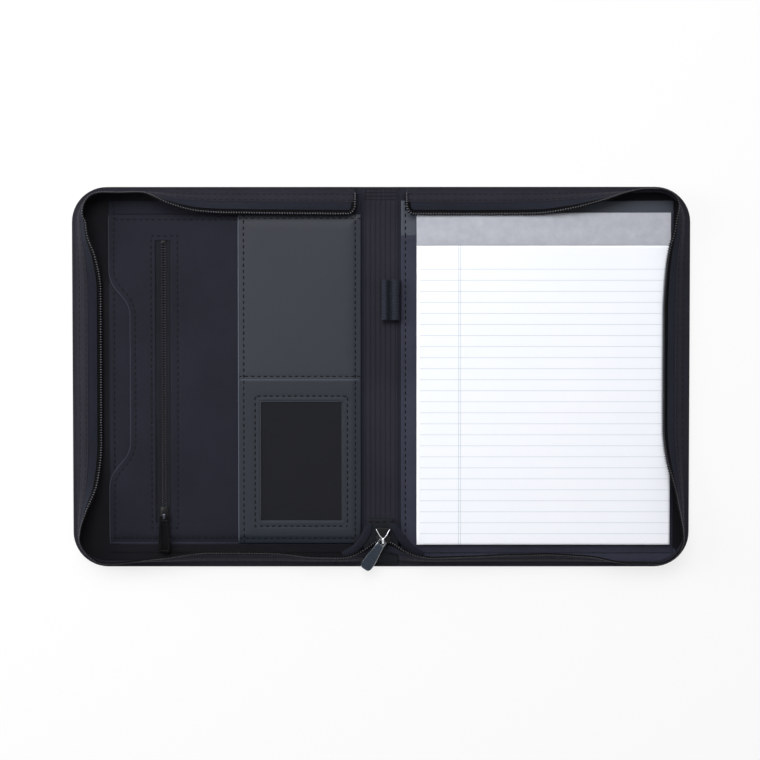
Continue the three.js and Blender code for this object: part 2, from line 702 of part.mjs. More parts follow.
// Ribbed lining: ribs along the spine, pressed flat by the seam band at the top.
function spineLining() {
  const [low, high] = [-folderHeight / 2 + spineEndMargin, folderHeight / 2 - spineEndMargin];
  const count = Math.floor(2 * spineLiningReach / ribPitch);
  const step = 2 * spineLiningReach / count;
  const ring = (y, rise) => {
    const outline = [[-spineLiningReach, spineTop - spineLiningThickness],
      [spineLiningReach, spineTop - spineLiningThickness], [spineLiningReach, spineTop - rise]];
    for (let i = 0; i < count; i++) {
      const x = spineLiningReach - step * i;
      outline.push([x - step / 2, spineTop], [x - step, spineTop - rise]);
    }
    return ringOf(outline.map(([x, z]) => new THREE.Vector3(x, y, z)),
      outline.map(([x, z]) => new THREE.Vector2(x, z)));
  };
  return loft([ring(low, ribHeight), ring(high - stitchBandDepth, ribHeight),
    ring(high - stitchBandDepth + ribPitch / 2, pressedRib), ring(high, pressedRib)]);
}

// Elastic pen loop, open along Y, with a crease pressed into its crown.
function penLoop() {
  const base = spineTop + layerGap;
  const outline = (inset) => {
    const [l, r, b, t] = [loopLeft + inset, loopRight - inset, base + inset, base + loopRise - inset];
    const ease = loopEase - inset * 0.6;
    const middle = loopLeft + loopWidth * 0.48;
    const s = new THREE.Shape();
    s.moveTo(l + ease, b);
    s.lineTo(r - ease, b);
    s.quadraticCurveTo(r, b, r, b + ease);
    s.lineTo(r, t - ease);
    s.quadraticCurveTo(r, t, r - ease, t);
    s.quadraticCurveTo(middle + 1, t, middle, t - loopCrease);
    s.quadraticCurveTo(middle - 1, t, l + ease, t);
    s.quadraticCurveTo(l, t, l, t - ease);
    s.lineTo(l, b + ease);
    s.quadraticCurveTo(l, b, l + ease, b);
    return s;
  };
  const wall = outline(0);
  wall.holes.push(outline(loopThickness));
  return alongY(wall, loopBottom, loopTop, 3);
}

const gussetFoldAtSlider = bandCurve(leanRight[leanRight.length - 1][1], gussetHeight);
const apronTopHeight = liningTop + gussetFoldAtSlider.up - apronDrop;
const sliderBase = apronTopHeight + sliderAboveGusset;

// The gusset across the foot of the spine rises from the bottom edge and lies down under the slider.
function spineGusset() {
  const half = gussetThickness / 2;
  const xs = Array.from({ length: 9 }, (_, i) => -1 + i / 4).map((t) => t * (foldPieceEnd - seamGap));
  return loft(xs.map((x) => {
    const side = x < 0 ? -1 : 1;
    const run = Math.min(runAtBottom(side, Math.abs(x)), 5);
    const lean = leanAt(side, run);
    const crest = bandCurve(lean, gussetHeight);
    const middle = bandCurve(lean, gussetHeight / 2);
    const crestUp = Math.min(crest.up - tapeThickness - seamGap, gussetFoldAtSlider.up + crestRise);
    const y = (across) => -edgeY + across;
    const apron = apronTopHeight - liningTop;
    const level = Math.max(crest.across + crestWidth + 5, apronStart);
    const outline = [[-footWidth, 0], [-footWidth, footThickness], [-half, footThickness],
      [middle.across - half, middle.up + half], [crest.across, crestUp],
      [crest.across + crestWidth, crestUp - crestSag], [level, apron], [edgeY + apronTop, apron],
      [edgeY + apronTop, apron - apronThickness], [level - gussetThickness, apron - apronThickness],
      [crest.across + crestWidth - gussetThickness, crestUp - crestSag - 1.2 * gussetThickness],
      [middle.across + half, middle.up - half], [half, 0]];
    return ringOf(outline.map(([a, up]) => new THREE.Vector3(x, y(a), liningTop + up)),
      outline.map(([a, up]) => new THREE.Vector2(a, up)));
  }));
}

// Folded cloth end of the zip, sewn down beyond the slider.
function zipEndTab() {
  const tabBase = spineTop + layerGap;
  const under = block(-tabHalfWidth - 1, tabHalfWidth + 1, apronTop, tabTop - tabFoot,
    tabBase - 1, apronTopHeight - apronThickness);
  return cut(block(-tabHalfWidth, tabHalfWidth, apronTop + seamGap, tabTop, tabBase, apronTopHeight), under);
}

// Sliders. The body has a plate below and above the chain, a wedge that parts the teeth, flanges that
// guide them and a bridge for the pull. It is drawn at its own place, front end towards -Y.
function sliderBody({ length, width, tail, plate, room, bridge, slot }) {
  const half = length / 2;
  const flareStart = 0.25;     // shares of the half length, from the middle
  const shoulder = -0.4;
  const noseShare = 0.36;      // width left at the very front
  const halfWidthAt = (t) => {
    if (t >= flareStart) return tail / 2;
    if (t > shoulder) {
      const ease = (flareStart - t) / (flareStart - shoulder);
      return tail / 2 + (width - tail) / 2 * ease * ease * (3 - 2 * ease);
    }
    const round = (shoulder - t) / (1 + shoulder);
    return width / 2 * Math.sqrt(1 - round ** 2 * (1 - noseShare ** 2));
  };
  const side = (from, to, count, inset) => Array.from({ length: count + 1 }, (_, i) => {
    const t = from + (to - from) * i / count;
    return new THREE.Vector2(halfWidthAt(t) - inset, t * half);
  });
  const mirrored = (points) => points.map((p) => new THREE.Vector2(-p.x, p.y)).reverse();
  const outline = [...side(-1, 0.24, 10, 0), ...side(0.3, 1, 1, 0)];
  const face = new THREE.Shape([...outline, ...mirrored(outline)]);
  const wallInset = plate * 0.2;
  const wallEdge = side(-0.62, 0.8, 8, wallInset);
  const wall = [...wallEdge, ...wallEdge.map((p) => new THREE.Vector2(p.x - plate * 0.9, p.y)).reverse()];
  const rise = plate * 2 + room;
  const mid = rise / 2;
  const walls = [wall, mirrored(wall)].flatMap((points) => [
    slab(new THREE.Shape(points), plate / 2, mid - slot / 2),
    slab(new THREE.Shape(points), mid + slot / 2, rise - plate / 2)]);
  const wedge = new THREE.Shape();
  wedge.moveTo(0, half * 0.15);
  wedge.quadraticCurveTo(-width * 0.2, -half * 0.3, -width * 0.14, -half * 0.86);
  wedge.lineTo(width * 0.14, -half * 0.86);
  wedge.quadraticCurveTo(width * 0.2, -half * 0.3, 0, half * 0.15);
  const [span, w, th] = [bridge.span / 2, bridge.width / 2, bridge.thickness];
  const height = bridge.room + th;
  const arch = new THREE.Shape();
  arch.moveTo(-span - th, -plate / 2);
  arch.lineTo(-span - th, height * 0.6);
  arch.quadraticCurveTo(-span - th, height, -span * 0.3, height);
  arch.lineTo(span * 0.3, height);
  arch.quadraticCurveTo(span + th, height, span + th, height * 0.6);
  arch.lineTo(span + th, -plate / 2);
  arch.lineTo(span, -plate / 2);
  arch.lineTo(span, height * 0.5);
  arch.quadraticCurveTo(span, bridge.room, span * 0.3, bridge.room);
  arch.lineTo(-span * 0.3, bridge.room);
  arch.quadraticCurveTo(-span, bridge.room, -span, height * 0.5);
  arch.lineTo(-span, -plate / 2);
  return joined(slab(face, 0, plate), slab(face, plate + room, rise), ...walls,
    slab(wedge, plate / 2, rise - plate / 2, 3), alongX(arch, -w, w, 3).translate(0, bridge.at, rise));
}

// A pull is a plate with an eye at its head. Its pin, across the eye, is the hinge. Drawn with the pin
// on the X axis and the plate hanging towards -Y.
function pullPlate({ length, neck, tip, eyeWidth, eyeLength, pin, thickness, cornerTurn }) {
  const s = new THREE.Shape();
  const [n, t] = [neck / 2, tip / 2];
  const neckEnd = eyeLength + pin;
  s.moveTo(-n, pin);
  s.lineTo(-n, -neckEnd);
  s.bezierCurveTo(-n, -length * 0.35, -t, -length * 0.5, -t, -length + cornerTurn + pin);
  s.quadraticCurveTo(-t, -length + pin, -t * 0.35, -length + pin);
  s.lineTo(t * 0.35, -length + pin);
  s.quadraticCurveTo(t, -length + pin, t, -length + cornerTurn + pin);
  s.bezierCurveTo(t, -length * 0.5, n, -length * 0.35, n, -neckEnd);
  s.lineTo(n, pin);
  s.holes.push(rectangle(-eyeWidth / 2, eyeWidth / 2, -eyeLength, -pin));
  return slab(s, -thickness / 2, thickness / 2, 5);
}

// Room for a pull's head to turn about its pin under the bridge.
const turnRadius = (thickness) => Math.hypot(pinRadius, thickness / 2);
const pinHeight = (thickness) => turnRadius(thickness) + pinClearance;
const bridgeRoom = (thickness) => pinHeight(thickness) + turnRadius(thickness) + pinClearance;

const mainBridge = { span: bridgeSpan, width: bridgeWidth, thickness: bridgeThickness,
  room: bridgeRoom(pullThickness), at: -bridgeForward };

function mainSlider() {
  return sliderBody({ length: sliderLength, width: sliderWidth, tail: sliderTailWidth, plate: sliderPlate,
    room: sliderRoom, slot: sliderSlot, bridge: mainBridge }).translate(sliderX, sliderY, sliderBase);
}

const mainPin = new THREE.Vector3(sliderX, sliderY + mainBridge.at - pinClearance * 1.5,
  sliderBase + 2 * sliderPlate + sliderRoom + pinHeight(pullThickness));

function mainPull() {
  return pullPlate({ length: pullLength, neck: pullNeckWidth, tip: pullTipWidth, eyeWidth: pullEyeWidth,
    eyeLength: pullEyeLength, pin: pinRadius, thickness: pullThickness, cornerTurn: pullCorner })
    .rotateX(pullDroop).rotateZ(-pullSkew).translate(mainPin.x, mainPin.y, mainPin.z);
}

const innerRoom = innerCoilThickness + 2 * chainClearance;
const innerSliderBase = coilBase - chainClearance - innerSliderPlate;
const innerBridge = { span: bridgeSpan, width: innerBridgeWidth, thickness: innerBridgeThickness,
  room: bridgeRoom(innerPullThickness), at: -innerBridgeForward };

function innerSlider() {
  return sliderBody({ length: innerSliderLength, width: innerSliderWidth, tail: innerSliderTail,
    plate: innerSliderPlate, room: innerRoom, slot: zipTapeThickness + innerSlotRoom, bridge: innerBridge })
    .translate(-zipCentre, innerSliderY, innerSliderBase);
}

const innerPin = new THREE.Vector3(-zipCentre, innerSliderY + innerBridge.at - pinClearance,
  innerSliderBase + 2 * innerSliderPlate + innerRoom + pinHeight(innerPullThickness));

// The inner pull has a raised rim round a sunk middle.
function innerPull() {
  const plate = pullPlate({ length: innerPullLength, neck: innerPullNeck, tip: innerPullWidth,
    eyeWidth: pullEyeWidth, eyeLength: pullEyeLength, pin: pinRadius, thickness: innerPullThickness,
    cornerTurn: innerPullCorner });
  const sunk = block(-innerPullNeck / 2 + rimWidth, innerPullNeck / 2 - rimWidth,
    -innerPullLength + innerPullCorner, -2 * pullEyeLength - rimWidth,
    innerPullThickness / 2 - innerPullRim, innerPullThickness);
  const holes = [-1.4, 1.4].map((x) =>
    new THREE.CylinderGeometry(0.55, 0.55, 4, 8).rotateX(Math.PI / 2).translate(x, -5.6, 0));
  return cut(plate, sunk, ...holes).translate(innerPin.x, innerPin.y, innerPin.z);
}

// Assembly
const folder = new THREE.Group();
folder.name = 'document_folder';

function add(group, name, geometry, material) {
  const mesh = new THREE.Mesh(geometry, material);
  mesh.name = name;
  group.add(mesh);
}

const spine = new THREE.Group();
add(spine, 'spine_outer_skin', spineSkin(), coverCloth);
add(spine, 'spine_board', spineFiller(), greyboard);
add(spine, 'spine_lining', spineLining(), liningCloth);
add(spine, 'spine_bottom_gusset', spineGusset(), gussetCloth);
add(spine, 'zip_end_tab', zipEndTab(), tapeCloth);
add(spine, 'pen_loop', penLoop(), elastic);
folder.add(spine);

for (const [side, word] of [[-1, 'left'], [1, 'right']]) {
  const cover = new THREE.Group();
  add(cover, `${word}_outer_skin`, outerSkin(side), coverCloth);
  add(cover, `${word}_board`, coverBoard(side), greyboard);
  add(cover, `${word}_lining`, coverLining(side), liningCloth);
  add(cover, `${word}_gusset`, coverGusset(side), gussetCloth);
  add(cover, `${word}_gusset_fold`, softGusset(side), gussetCloth);
  add(cover, `${word}_zip_tape`, coverTape(side), tapeCloth);
  add(cover, `${word}_zip_coil`, coverCoil(side), coilPlastic);
  folder.add(cover);
}

const leftPanels = new THREE.Group();
add(leftPanels, 'document_pocket_back',
  block(-panelLeft, -panelSpineEdge, -panelHalfHeight, panelHalfHeight, liningTop, pocketBackTop), liningCloth);
add(leftPanels, 'document_pocket_panel', pocketFront(), liningCloth);
add(leftPanels, 'zip_pocket_bag', zipBag(), liningCloth);
for (const [hand, word] of [[-1, 'left'], [1, 'right']]) {
  add(leftPanels, `inner_zip_tape_${word}`, innerTape(hand), tapeCloth);
  add(leftPanels, `inner_zip_coil_${word}`, innerCoil(hand), coilPlastic);
}
add(leftPanels, 'inner_top_stop', innerStop(zipWindowTop - stopLength / 2 - seamGap), blackMetal);
add(leftPanels, 'card_pocket', cardPocket(), slateLeather);
add(leftPanels, 'id_window_frame', windowFrame(), slateLeather);
add(leftPanels, 'id_window_mesh', windowMesh(), windowNet);
folder.add(leftPanels);

const rightPanels = new THREE.Group();
add(rightPanels, 'pad_band', padBand(), slateLeather);
add(rightPanels, 'pad_pocket_panel', padPocket(), liningCloth);
folder.add(rightPanels);

const pad = new THREE.Group();
add(pad, 'pad_cardboard', cardboard(), greyboard);
add(pad, 'pad_sheets', padSheets(), paper);
add(pad, 'pad_header', padHeader(), padBinding);
add(pad, 'top_sheet', topSheet(), paper);
folder.add(pad);

const zips = new THREE.Group();
add(zips, 'main_slider', mainSlider(), darkMetal);
add(zips, 'main_pull', mainPull(), darkMetal);
add(zips, 'inner_slider', innerSlider(), blackMetal);
add(zips, 'inner_pull', innerPull(), blackMetal);
folder.add(zips);

export default folder;
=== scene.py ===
# Looks of the zippered document folder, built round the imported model.
# Sizes are in millimetres in the dictionaries and turn into metres where a mesh is made.
import math

import bmesh
import bpy
import numpy as np
from mathutils import Matrix, Vector, geometry


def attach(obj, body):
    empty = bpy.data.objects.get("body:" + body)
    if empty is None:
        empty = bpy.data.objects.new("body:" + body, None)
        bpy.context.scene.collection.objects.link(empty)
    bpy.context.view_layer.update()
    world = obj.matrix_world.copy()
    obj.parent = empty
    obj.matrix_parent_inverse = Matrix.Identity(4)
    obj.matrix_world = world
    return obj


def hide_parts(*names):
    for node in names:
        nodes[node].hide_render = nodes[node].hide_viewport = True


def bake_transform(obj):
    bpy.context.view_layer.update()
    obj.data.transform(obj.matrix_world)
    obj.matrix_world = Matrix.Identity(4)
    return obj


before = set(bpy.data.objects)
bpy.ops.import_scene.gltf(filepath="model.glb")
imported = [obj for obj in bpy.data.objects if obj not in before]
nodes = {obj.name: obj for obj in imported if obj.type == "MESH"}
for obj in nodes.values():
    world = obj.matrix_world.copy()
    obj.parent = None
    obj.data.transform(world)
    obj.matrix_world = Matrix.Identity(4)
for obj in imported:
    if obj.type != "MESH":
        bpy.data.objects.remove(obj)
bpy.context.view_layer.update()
scene = bpy.context.scene
mm = 0.001
upward = (0.0, 0.0, 1.0)
hands = ((-1, "left"), (1, "right"))
print("frame loaded:", len(nodes), "nodes")

folder = {
    "reach": 264.0,        # middle of the spine to a cover's outer edge
    "halfHeight": 162.5,
    "corner": 30.0,
    "fold": 19.2,          # middle of the spine to each fold
    "lining": 3.3,         # height of the lining's face
}


def newObject(name, data):
    made = bpy.data.objects.new(name, data)
    scene.collection.objects.link(made)
    return made


# Node trees

def setInputs(node, inputs):
    for socket, value in inputs.items():
        if isinstance(value, bpy.types.NodeSocket):
            node.id_data.links.new(value, node.inputs[socket])
        else:
            node.inputs[socket].default_value = value


def addNode(tree, kind, inputs=None, **settings):
    made = tree.nodes.new(kind)
    for key, value in settings.items():
        setattr(made, key, value)
    setInputs(made, inputs or {})
    return made


def maths(tree, operation, a, b=0.0, c=None):
    inputs = {0: a, 1: b} if c is None else {0: a, 1: b, 2: c}
    return addNode(tree, "ShaderNodeMath", inputs, operation=operation).outputs[0]


def plus(tree, a, b):
    return maths(tree, "ADD", a, b)


def times(tree, a, b):
    return maths(tree, "MULTIPLY", a, b)


def sine(tree, value, turns):
    return maths(tree, "SINE", times(tree, value, turns))


def scaled(tree, value, factor, base):
    return maths(tree, "MULTIPLY_ADD", value, factor, base)


def mixColour(tree, factor, a, b):
    return addNode(tree, "ShaderNodeMix", {0: factor, 6: a, 7: b}, data_type="RGBA").outputs[2]


def linear(hexColour, scale=1.0):
    parts = [int(hexColour[i:i + 2], 16) / 255 for i in (1, 3, 5)]
    return [(c / 12.92 if c <= 0.04045 else ((c + 0.055) / 1.055) ** 2.4) * scale for c in parts] + [1.0]


def noise(tree, vector, scale, detail=3.0, roughness=0.5):
    inputs = {"Vector": vector, "Scale": scale, "Detail": detail, "Roughness": roughness}
    return addNode(tree, "ShaderNodeTexNoise", inputs).outputs["Fac"]


def spread(tree, value, low, high):
    return addNode(tree, "ShaderNodeMapRange", {0: value, 1: low, 2: high, 3: 0.0, 4: 1.0}).outputs[0]


def axes(tree, vector):
    return addNode(tree, "ShaderNodeSeparateXYZ", {0: vector}).outputs


def startMaterial(name, coordinates="Object"):
    material = bpy.data.materials.new(name)
    material.use_nodes = True
    tree = material.node_tree
    tree.nodes.clear()
    shader = addNode(tree, "ShaderNodeBsdfPrincipled")
    addNode(tree, "ShaderNodeOutputMaterial", {0: shader.outputs[0]})
    return material, tree, shader, addNode(tree, "ShaderNodeTexCoord").outputs[coordinates]


# The last steps of each material: its colour, its relief as (height, strength, distance), and plain values.
def endMaterial(tree, shader, colour, relief, roughness, specular, others=None):
    height, strength, distance = relief
    bump = addNode(tree, "ShaderNodeBump", {"Height": height, "Strength": strength, "Distance": distance})
    setInputs(shader, {"Base Color": colour, "Normal": bump.outputs[0], "Roughness": roughness,
                       "Specular IOR Level": specular})
    setInputs(shader, others or {})


# A woven cloth. Coordinates are metres on flat pieces and the piece's own UV map, in metres of cloth, on
# the band. Threads cross at pitch, a twill steps one thread a row, and ribShading is (pitch, phase) of ribs
# whose furrows are painted shade.
def wovenCloth(name, colour, light=None, weave="plain", pitch=0.5, relief=0.5, roughness=0.8, sheen=0.05,
               specular=0.12, uv=False, cloudScale=14.0, ribShading=None):
    material, tree, shader, place = startMaterial(name, "UV" if uv else "Object")
    light = light or colour
    x, y = axes(tree, place)[:2]
    turns = 2 * math.pi / (pitch * mm)
    if weave == "twill":
        wave = sine(tree, plus(tree, x, times(tree, y, 0.8)), turns)
        across = sine(tree, maths(tree, "SUBTRACT", x, y), turns * 0.5)
        threads = plus(tree, wave, times(tree, across, 0.3))
    elif weave == "herringbone":
        threads = sine(tree, plus(tree, x, maths(tree, "PINGPONG", y, pitch * mm * 3)), turns)
    else:
        threads = times(tree, sine(tree, x, turns), sine(tree, y, turns))
    slubs = noise(tree, place, 900.0, 2.0)
    clouds = noise(tree, place, cloudScale, 4.0)
    wear = noise(tree, place, 120.0, 5.0, 0.6)
    height = plus(tree, plus(tree, threads, times(tree, slubs, 0.8)), times(tree, wear, 0.6))
    shade = mixColour(tree, spread(tree, threads, -1.2, 1.2), linear(colour, 0.72), linear(light, 1.22))
    # darker furrows between the ribs: painted shade
    if ribShading:
        away = maths(tree, "SUBTRACT", y if uv else x, ribShading[1] * mm)
        ridge = maths(tree, "COSINE", times(tree, away, 2 * math.pi / (ribShading[0] * mm)))
        furrowShade = times(tree, spread(tree, ridge, 0.5, -1.0), 0.3)
        shade = mixColour(tree, furrowShade, shade, linear(colour, 0.25))
    shade = mixColour(tree, times(tree, spread(tree, clouds, 0.38, 0.62), 0.3), shade, linear(light, 1.5))
    endMaterial(tree, shader, shade, (height, relief, pitch * mm * 0.25),
                scaled(tree, wear, 0.14, roughness - 0.07), specular,
                {"Sheen Weight": sheen, "Sheen Roughness": 0.45, "Sheen Tint": linear(light, 6.0)})
    return material


def leatherLike(name, colour, light, grain=1500.0, roughness=0.58):
    material, tree, shader, place = startMaterial(name)
    cells = addNode(tree, "ShaderNodeTexVoronoi", {"Vector": place, "Scale": grain, "Randomness": 1.0},
                    feature="DISTANCE_TO_EDGE").outputs["Distance"]
    pores = spread(tree, cells, 0.0, 0.16)
    fine = noise(tree, place, grain * 2.3, 4.0)
    clouds = noise(tree, place, 11.0, 3.0)
    shade = mixColour(tree, pores, linear(colour, 0.8), linear(colour, 1.04))
    shade = mixColour(tree, times(tree, spread(tree, clouds, 0.35, 0.7), 0.5), shade, linear(light))
    endMaterial(tree, shader, shade, (plus(tree, pores, times(tree, fine, 0.5)), 0.18, 0.00012),
                scaled(tree, fine, 0.16, roughness - 0.08), 0.3,
                {"Coat Weight": 0.03, "Coat Roughness": 0.4})
    return material


def metal(name, colour, light, roughness, metallic=1.0, specular=0.5, coat=0.0):
    material, tree, shader, place = startMaterial(name)
    scuffs = noise(tree, place, 420.0, 5.0, 0.6)
    drag = addNode(tree, "ShaderNodeMapping", {"Vector": place, "Scale": (900.0, 9000.0, 900.0)})
    brushing = noise(tree, drag.outputs[0], 1.0, 2.0)
    shade = mixColour(tree, spread(tree, scuffs, 0.35, 0.75), linear(colour), linear(light))
    endMaterial(tree, shader, shade, (plus(tree, brushing, scuffs), 0.05, 0.00004),
                scaled(tree, scuffs, 0.16, roughness - 0.06), specular,
                {"Metallic": metallic, "Coat Weight": coat, "Coat Roughness": 0.08})
    return material


def plastic(name, colour, light, roughness, specular):
    material, tree, shader, place = startMaterial(name)
    speckle = noise(tree, place, 1800.0, 2.0)
    shade = mixColour(tree, speckle, linear(colour), linear(light))
    rough = scaled(tree, speckle, 0.15, roughness)
    endMaterial(tree, shader, shade, (speckle, 0.1, 0.00005), rough, specular)
    return material


# Fine knitted net over the window: dark holes in rows, each row half a hole along.
def knittedNet(name, colour, dark, pitch):
    material, tree, shader, place = startMaterial(name)
    x, y = axes(tree, place)[:2]
    turns = math.pi / (pitch * mm)
    a = sine(tree, plus(tree, x, y), turns)
    b = sine(tree, maths(tree, "SUBTRACT", x, y), turns)
    yarn = maths(tree, "MAXIMUM", maths(tree, "ABSOLUTE", a), maths(tree, "ABSOLUTE", b))
    hole = spread(tree, yarn, 0.55, 0.8)
    shade = mixColour(tree, hole, linear(dark), linear(colour))
    shade = mixColour(tree, times(tree, noise(tree, place, 24.0), 0.4), shade, linear(dark, 1.6))
    endMaterial(tree, shader, shade, (hole, 0.5, 0.00015), scaled(tree, hole, -0.2, 0.85), 0.12)
    return material


# Writing paper ruled across, with a double margin line. Lines are placed from the sheet's own edges.
ruling = {
    "firstLine": 92.0, "pitch": 9.4, "lineWidth": 0.45, "lineStart": 33.4, "lineInk": 0.66,
    "margin": 67.0, "marginGap": 1.6, "marginWidth": 0.34, "marginInk": 0.95,
}


def ruledPaper(name):
    material, tree, shader, place = startMaterial(name)
    x, y = axes(tree, place)[:2]

    def upright(at):
        away = maths(tree, "ABSOLUTE", maths(tree, "SUBTRACT", x, at * mm))
        return maths(tree, "LESS_THAN", away, ruling["marginWidth"] / 2 * mm)

    down = maths(tree, "SUBTRACT", ruling["firstLine"] * mm, y)
    step = maths(tree, "PINGPONG", down, ruling["pitch"] * mm * 0.5)
    onLine = maths(tree, "LESS_THAN", step, ruling["lineWidth"] * mm * 0.5)
    onLine = times(tree, onLine, maths(tree, "GREATER_THAN", down, -0.001))
    onLine = times(tree, onLine, maths(tree, "GREATER_THAN", x, ruling["lineStart"] * mm))
    gap = ruling["marginGap"] / 2
    margin = plus(tree, upright(ruling["margin"] - gap), upright(ruling["margin"] + gap))
    fibres = noise(tree, place, 700.0, 5.0, 0.65)
    shade = mixColour(tree, noise(tree, place, 9.0, 2.0), linear("#f4f7ff"), linear("#f8faff"))
    shade = mixColour(tree, times(tree, onLine, ruling["lineInk"]), shade, linear("#b6c0cc"))
    shade = mixColour(tree, times(tree, margin, ruling["marginInk"]), shade, linear("#adbcc8"))
    endMaterial(tree, shader, shade, (fibres, 0.08, 0.00005), scaled(tree, fibres, 0.1, 0.78), 0.25)
    return material


# Cut edges of the pad: thin layers seen from the side, with painted shade in the gaps between sheets, and
# plain paper from above.
def paperStack(name, colour, gap, sheet):
    material, tree, shader, place = startMaterial(name)
    z = axes(tree, place)[2]
    wobble = times(tree, noise(tree, place, 60.0, 2.0), 0.00012)
    layers = sine(tree, plus(tree, z, wobble), 2 * math.pi / (sheet * mm))
    fibres = noise(tree, place, 900.0, 4.0)
    shade = mixColour(tree, spread(tree, layers, -1.0, 1.0), linear(gap), linear(colour))
    endMaterial(tree, shader, shade, (plus(tree, layers, fibres), 0.2, 0.00004), 0.85, 0.2)
    return material


# Pulp board and the pad's mottled binding paper: fibres of two tones pressed together.
def pulpBoard(name, colour, light, fleck, fibre, cloud, roughness):
    material, tree, shader, place = startMaterial(name)
    fibres = noise(tree, place, fibre, 6.0, 0.7)
    clouds = noise(tree, place, cloud, 5.0, 0.6)
    cells = {"Vector": place, "Scale": fibre * 0.6}
    flecks = addNode(tree, "ShaderNodeTexVoronoi", cells).outputs["Distance"]
    shade = mixColour(tree, spread(tree, clouds, 0.35, 0.68), linear(colour), linear(light))
    shade = mixColour(tree, times(tree, spread(tree, flecks, 0.0, 0.12), -0.18), shade, linear(fleck))
    shade = mixColour(tree, times(tree, spread(tree, fibres, 0.55, 0.75), 0.3), shade, linear(fleck))
    endMaterial(tree, shader, shade, (plus(tree, fibres, clouds), 0.12, 0.0001),
                scaled(tree, fibres, 0.15, roughness), 0.3)
    return material


# Sewing thread: two plies twisted, drawn by fine slanting bands.
def sewingThread(name, colour):
    material, tree, shader, place = startMaterial(name)
    twist = addNode(tree, "ShaderNodeMapping", {"Vector": place, "Rotation": (0.0, 0.0, 0.6)})
    wave = {"Vector": twist.outputs[0], "Scale": 900.0, "Distortion": 0.6}
    bands = addNode(tree, "ShaderNodeTexWave", wave).outputs["Fac"]
    shade = mixColour(tree, bands, linear(colour, 0.6), linear(colour, 1.3))
    endMaterial(tree, shader, shade, (bands, 0.3, 0.00005), 0.7, 0.12)
    return material


finishes = {
    "coverCloth": wovenCloth("cover_cloth", "#232227", pitch=0.75, relief=0.6, roughness=0.76, sheen=0.04,
                             specular=0.2),
    "lining": wovenCloth("lining_cloth", "#1a1b24", "#1f2029", "twill", 0.55, 0.4),
    # near-black cloth laid where shade falls: painted shade
    "paintedShadeCloth": wovenCloth("painted_shade_cloth", "#0f0f13", "#141419", pitch=0.6),
    # a lighter copy of the lining cloth: painted light on the right cover
    "padPocketLit": wovenCloth("pad_pocket_cloth", "#2c2e3a", "#343643", "twill", 0.55, 0.4),
    "gusset": wovenCloth("gusset_cloth", "#15141d", "#1c1b26", pitch=0.6, roughness=0.72, specular=0.2,
                         uv=True, cloudScale=22.0, ribShading=(2.1, 0.4)),
    "tape": wovenCloth("zip_tape_cloth", "#181a23", "#20222c", "herringbone", relief=0.6, roughness=0.76,
                       uv=True),
    "innerTape": wovenCloth("inner_tape_cloth", "#131419", "#1a1b21", "herringbone", roughness=0.76),
    "elastic": wovenCloth("pen_loop_elastic", "#1f212a", "#2a2d37", uv=True),
    "spineRib": wovenCloth("spine_rib_cloth", "#1e1e27", "#27262f", relief=0.4, roughness=0.78,
                           ribShading=(4.3, 2.15)),
    "leather": leatherLike("slate_leather", "#1b2029", "#1f242e"),
    # a darker copy of the slate leather: painted shade on the window frame
    "frameLeatherShaded": leatherLike("frame_leather_shaded", "#0f1620", "#131b27"),
    # a lighter copy of the slate leather: painted light on the right cover
    "bandLeatherLit": leatherLike("band_leather_lit", "#333843", "#3a3f4a", roughness=0.55),
    "frameEdge": leatherLike("frame_edge", "#242a30", "#2d333a", 2200.0, 0.5),
    # lighter leather for the painted highlight along the leather's edges
    "leatherEdgeHighlight": leatherLike("leather_edge_highlight", "#454c58", "#525966", 2200.0, 0.45),
    "net": knittedNet("window_net", "#17181e", "#0b0c10", 0.9),
    "coil": plastic("coil_plastic", "#060608", "#0c0c0e", 0.4, 0.1),
    # near-black strip beside the coil: its cord, and painted shade
    "coilCordShade": plastic("coil_cord_painted_shade", "#030304", "#08080a", 0.7, 0.05),
    "innerCoil": plastic("inner_coil_plastic", "#1c1d21", "#2c2d32", 0.36, 0.3),
    "innerThread": sewingThread("inner_zip_thread", "#34353b"),
    # brighter plastic for beads that paint the coil's glint
    "paintedCoilGlint": plastic("coil_painted_glint", "#50505a", "#787880", 0.35, 0.3),
    # lighter cloth for the painted highlight along the pocket's hem
    "hem": wovenCloth("hem_highlight_cloth", "#33343f", "#3d3e4a", relief=0.4),
    "apron": wovenCloth("slider_cloth", "#15161a", "#1d1f24", "herringbone", relief=0.6, roughness=0.78),
    "gunmetal": metal("dark_chrome", "#34373d", "#4c5057", 0.2, 0.95),
    "chrome": metal("bright_chrome", "#c2c4c9", "#e0e2e5", 0.12),
    "pullEdge": metal("pull_edge_metal", "#8d9096", "#b4b7bc", 0.14),
    "pullFace": metal("pull_enamel", "#111c28", "#1e2f40", 0.16, 0.7, coat=0.4),
    "blackMetal": metal("black_metal", "#070708", "#0d0d10", 0.34, 0.0, 0.16),
    "blackRim": metal("black_metal_rim", "#34353b", "#484950", 0.3, 0.0, 0.4),
    "blackFace": metal("black_metal_face", "#030304", "#060608", 0.5, 0.0, 0.06),
    "ruled": ruledPaper("ruled_paper"),
    "stack": paperStack("paper_stack", "#eef1f7", "#c3c8d2", 0.16),
    "binding": pulpBoard("pad_binding", "#a8aab4", "#b4b6bf", "#90929c", 260.0, 110.0, 0.55),
    "board": pulpBoard("greyboard", "#857d72", "#958d82", "#6c645a", 420.0, 60.0, 0.85),
    "thread": sewingThread("dark_thread", "#0b0b0f"),
}
print("materials made:", len(finishes))


# Stage, light and camera. The camera was fitted to the photograph's outline of the open folder.

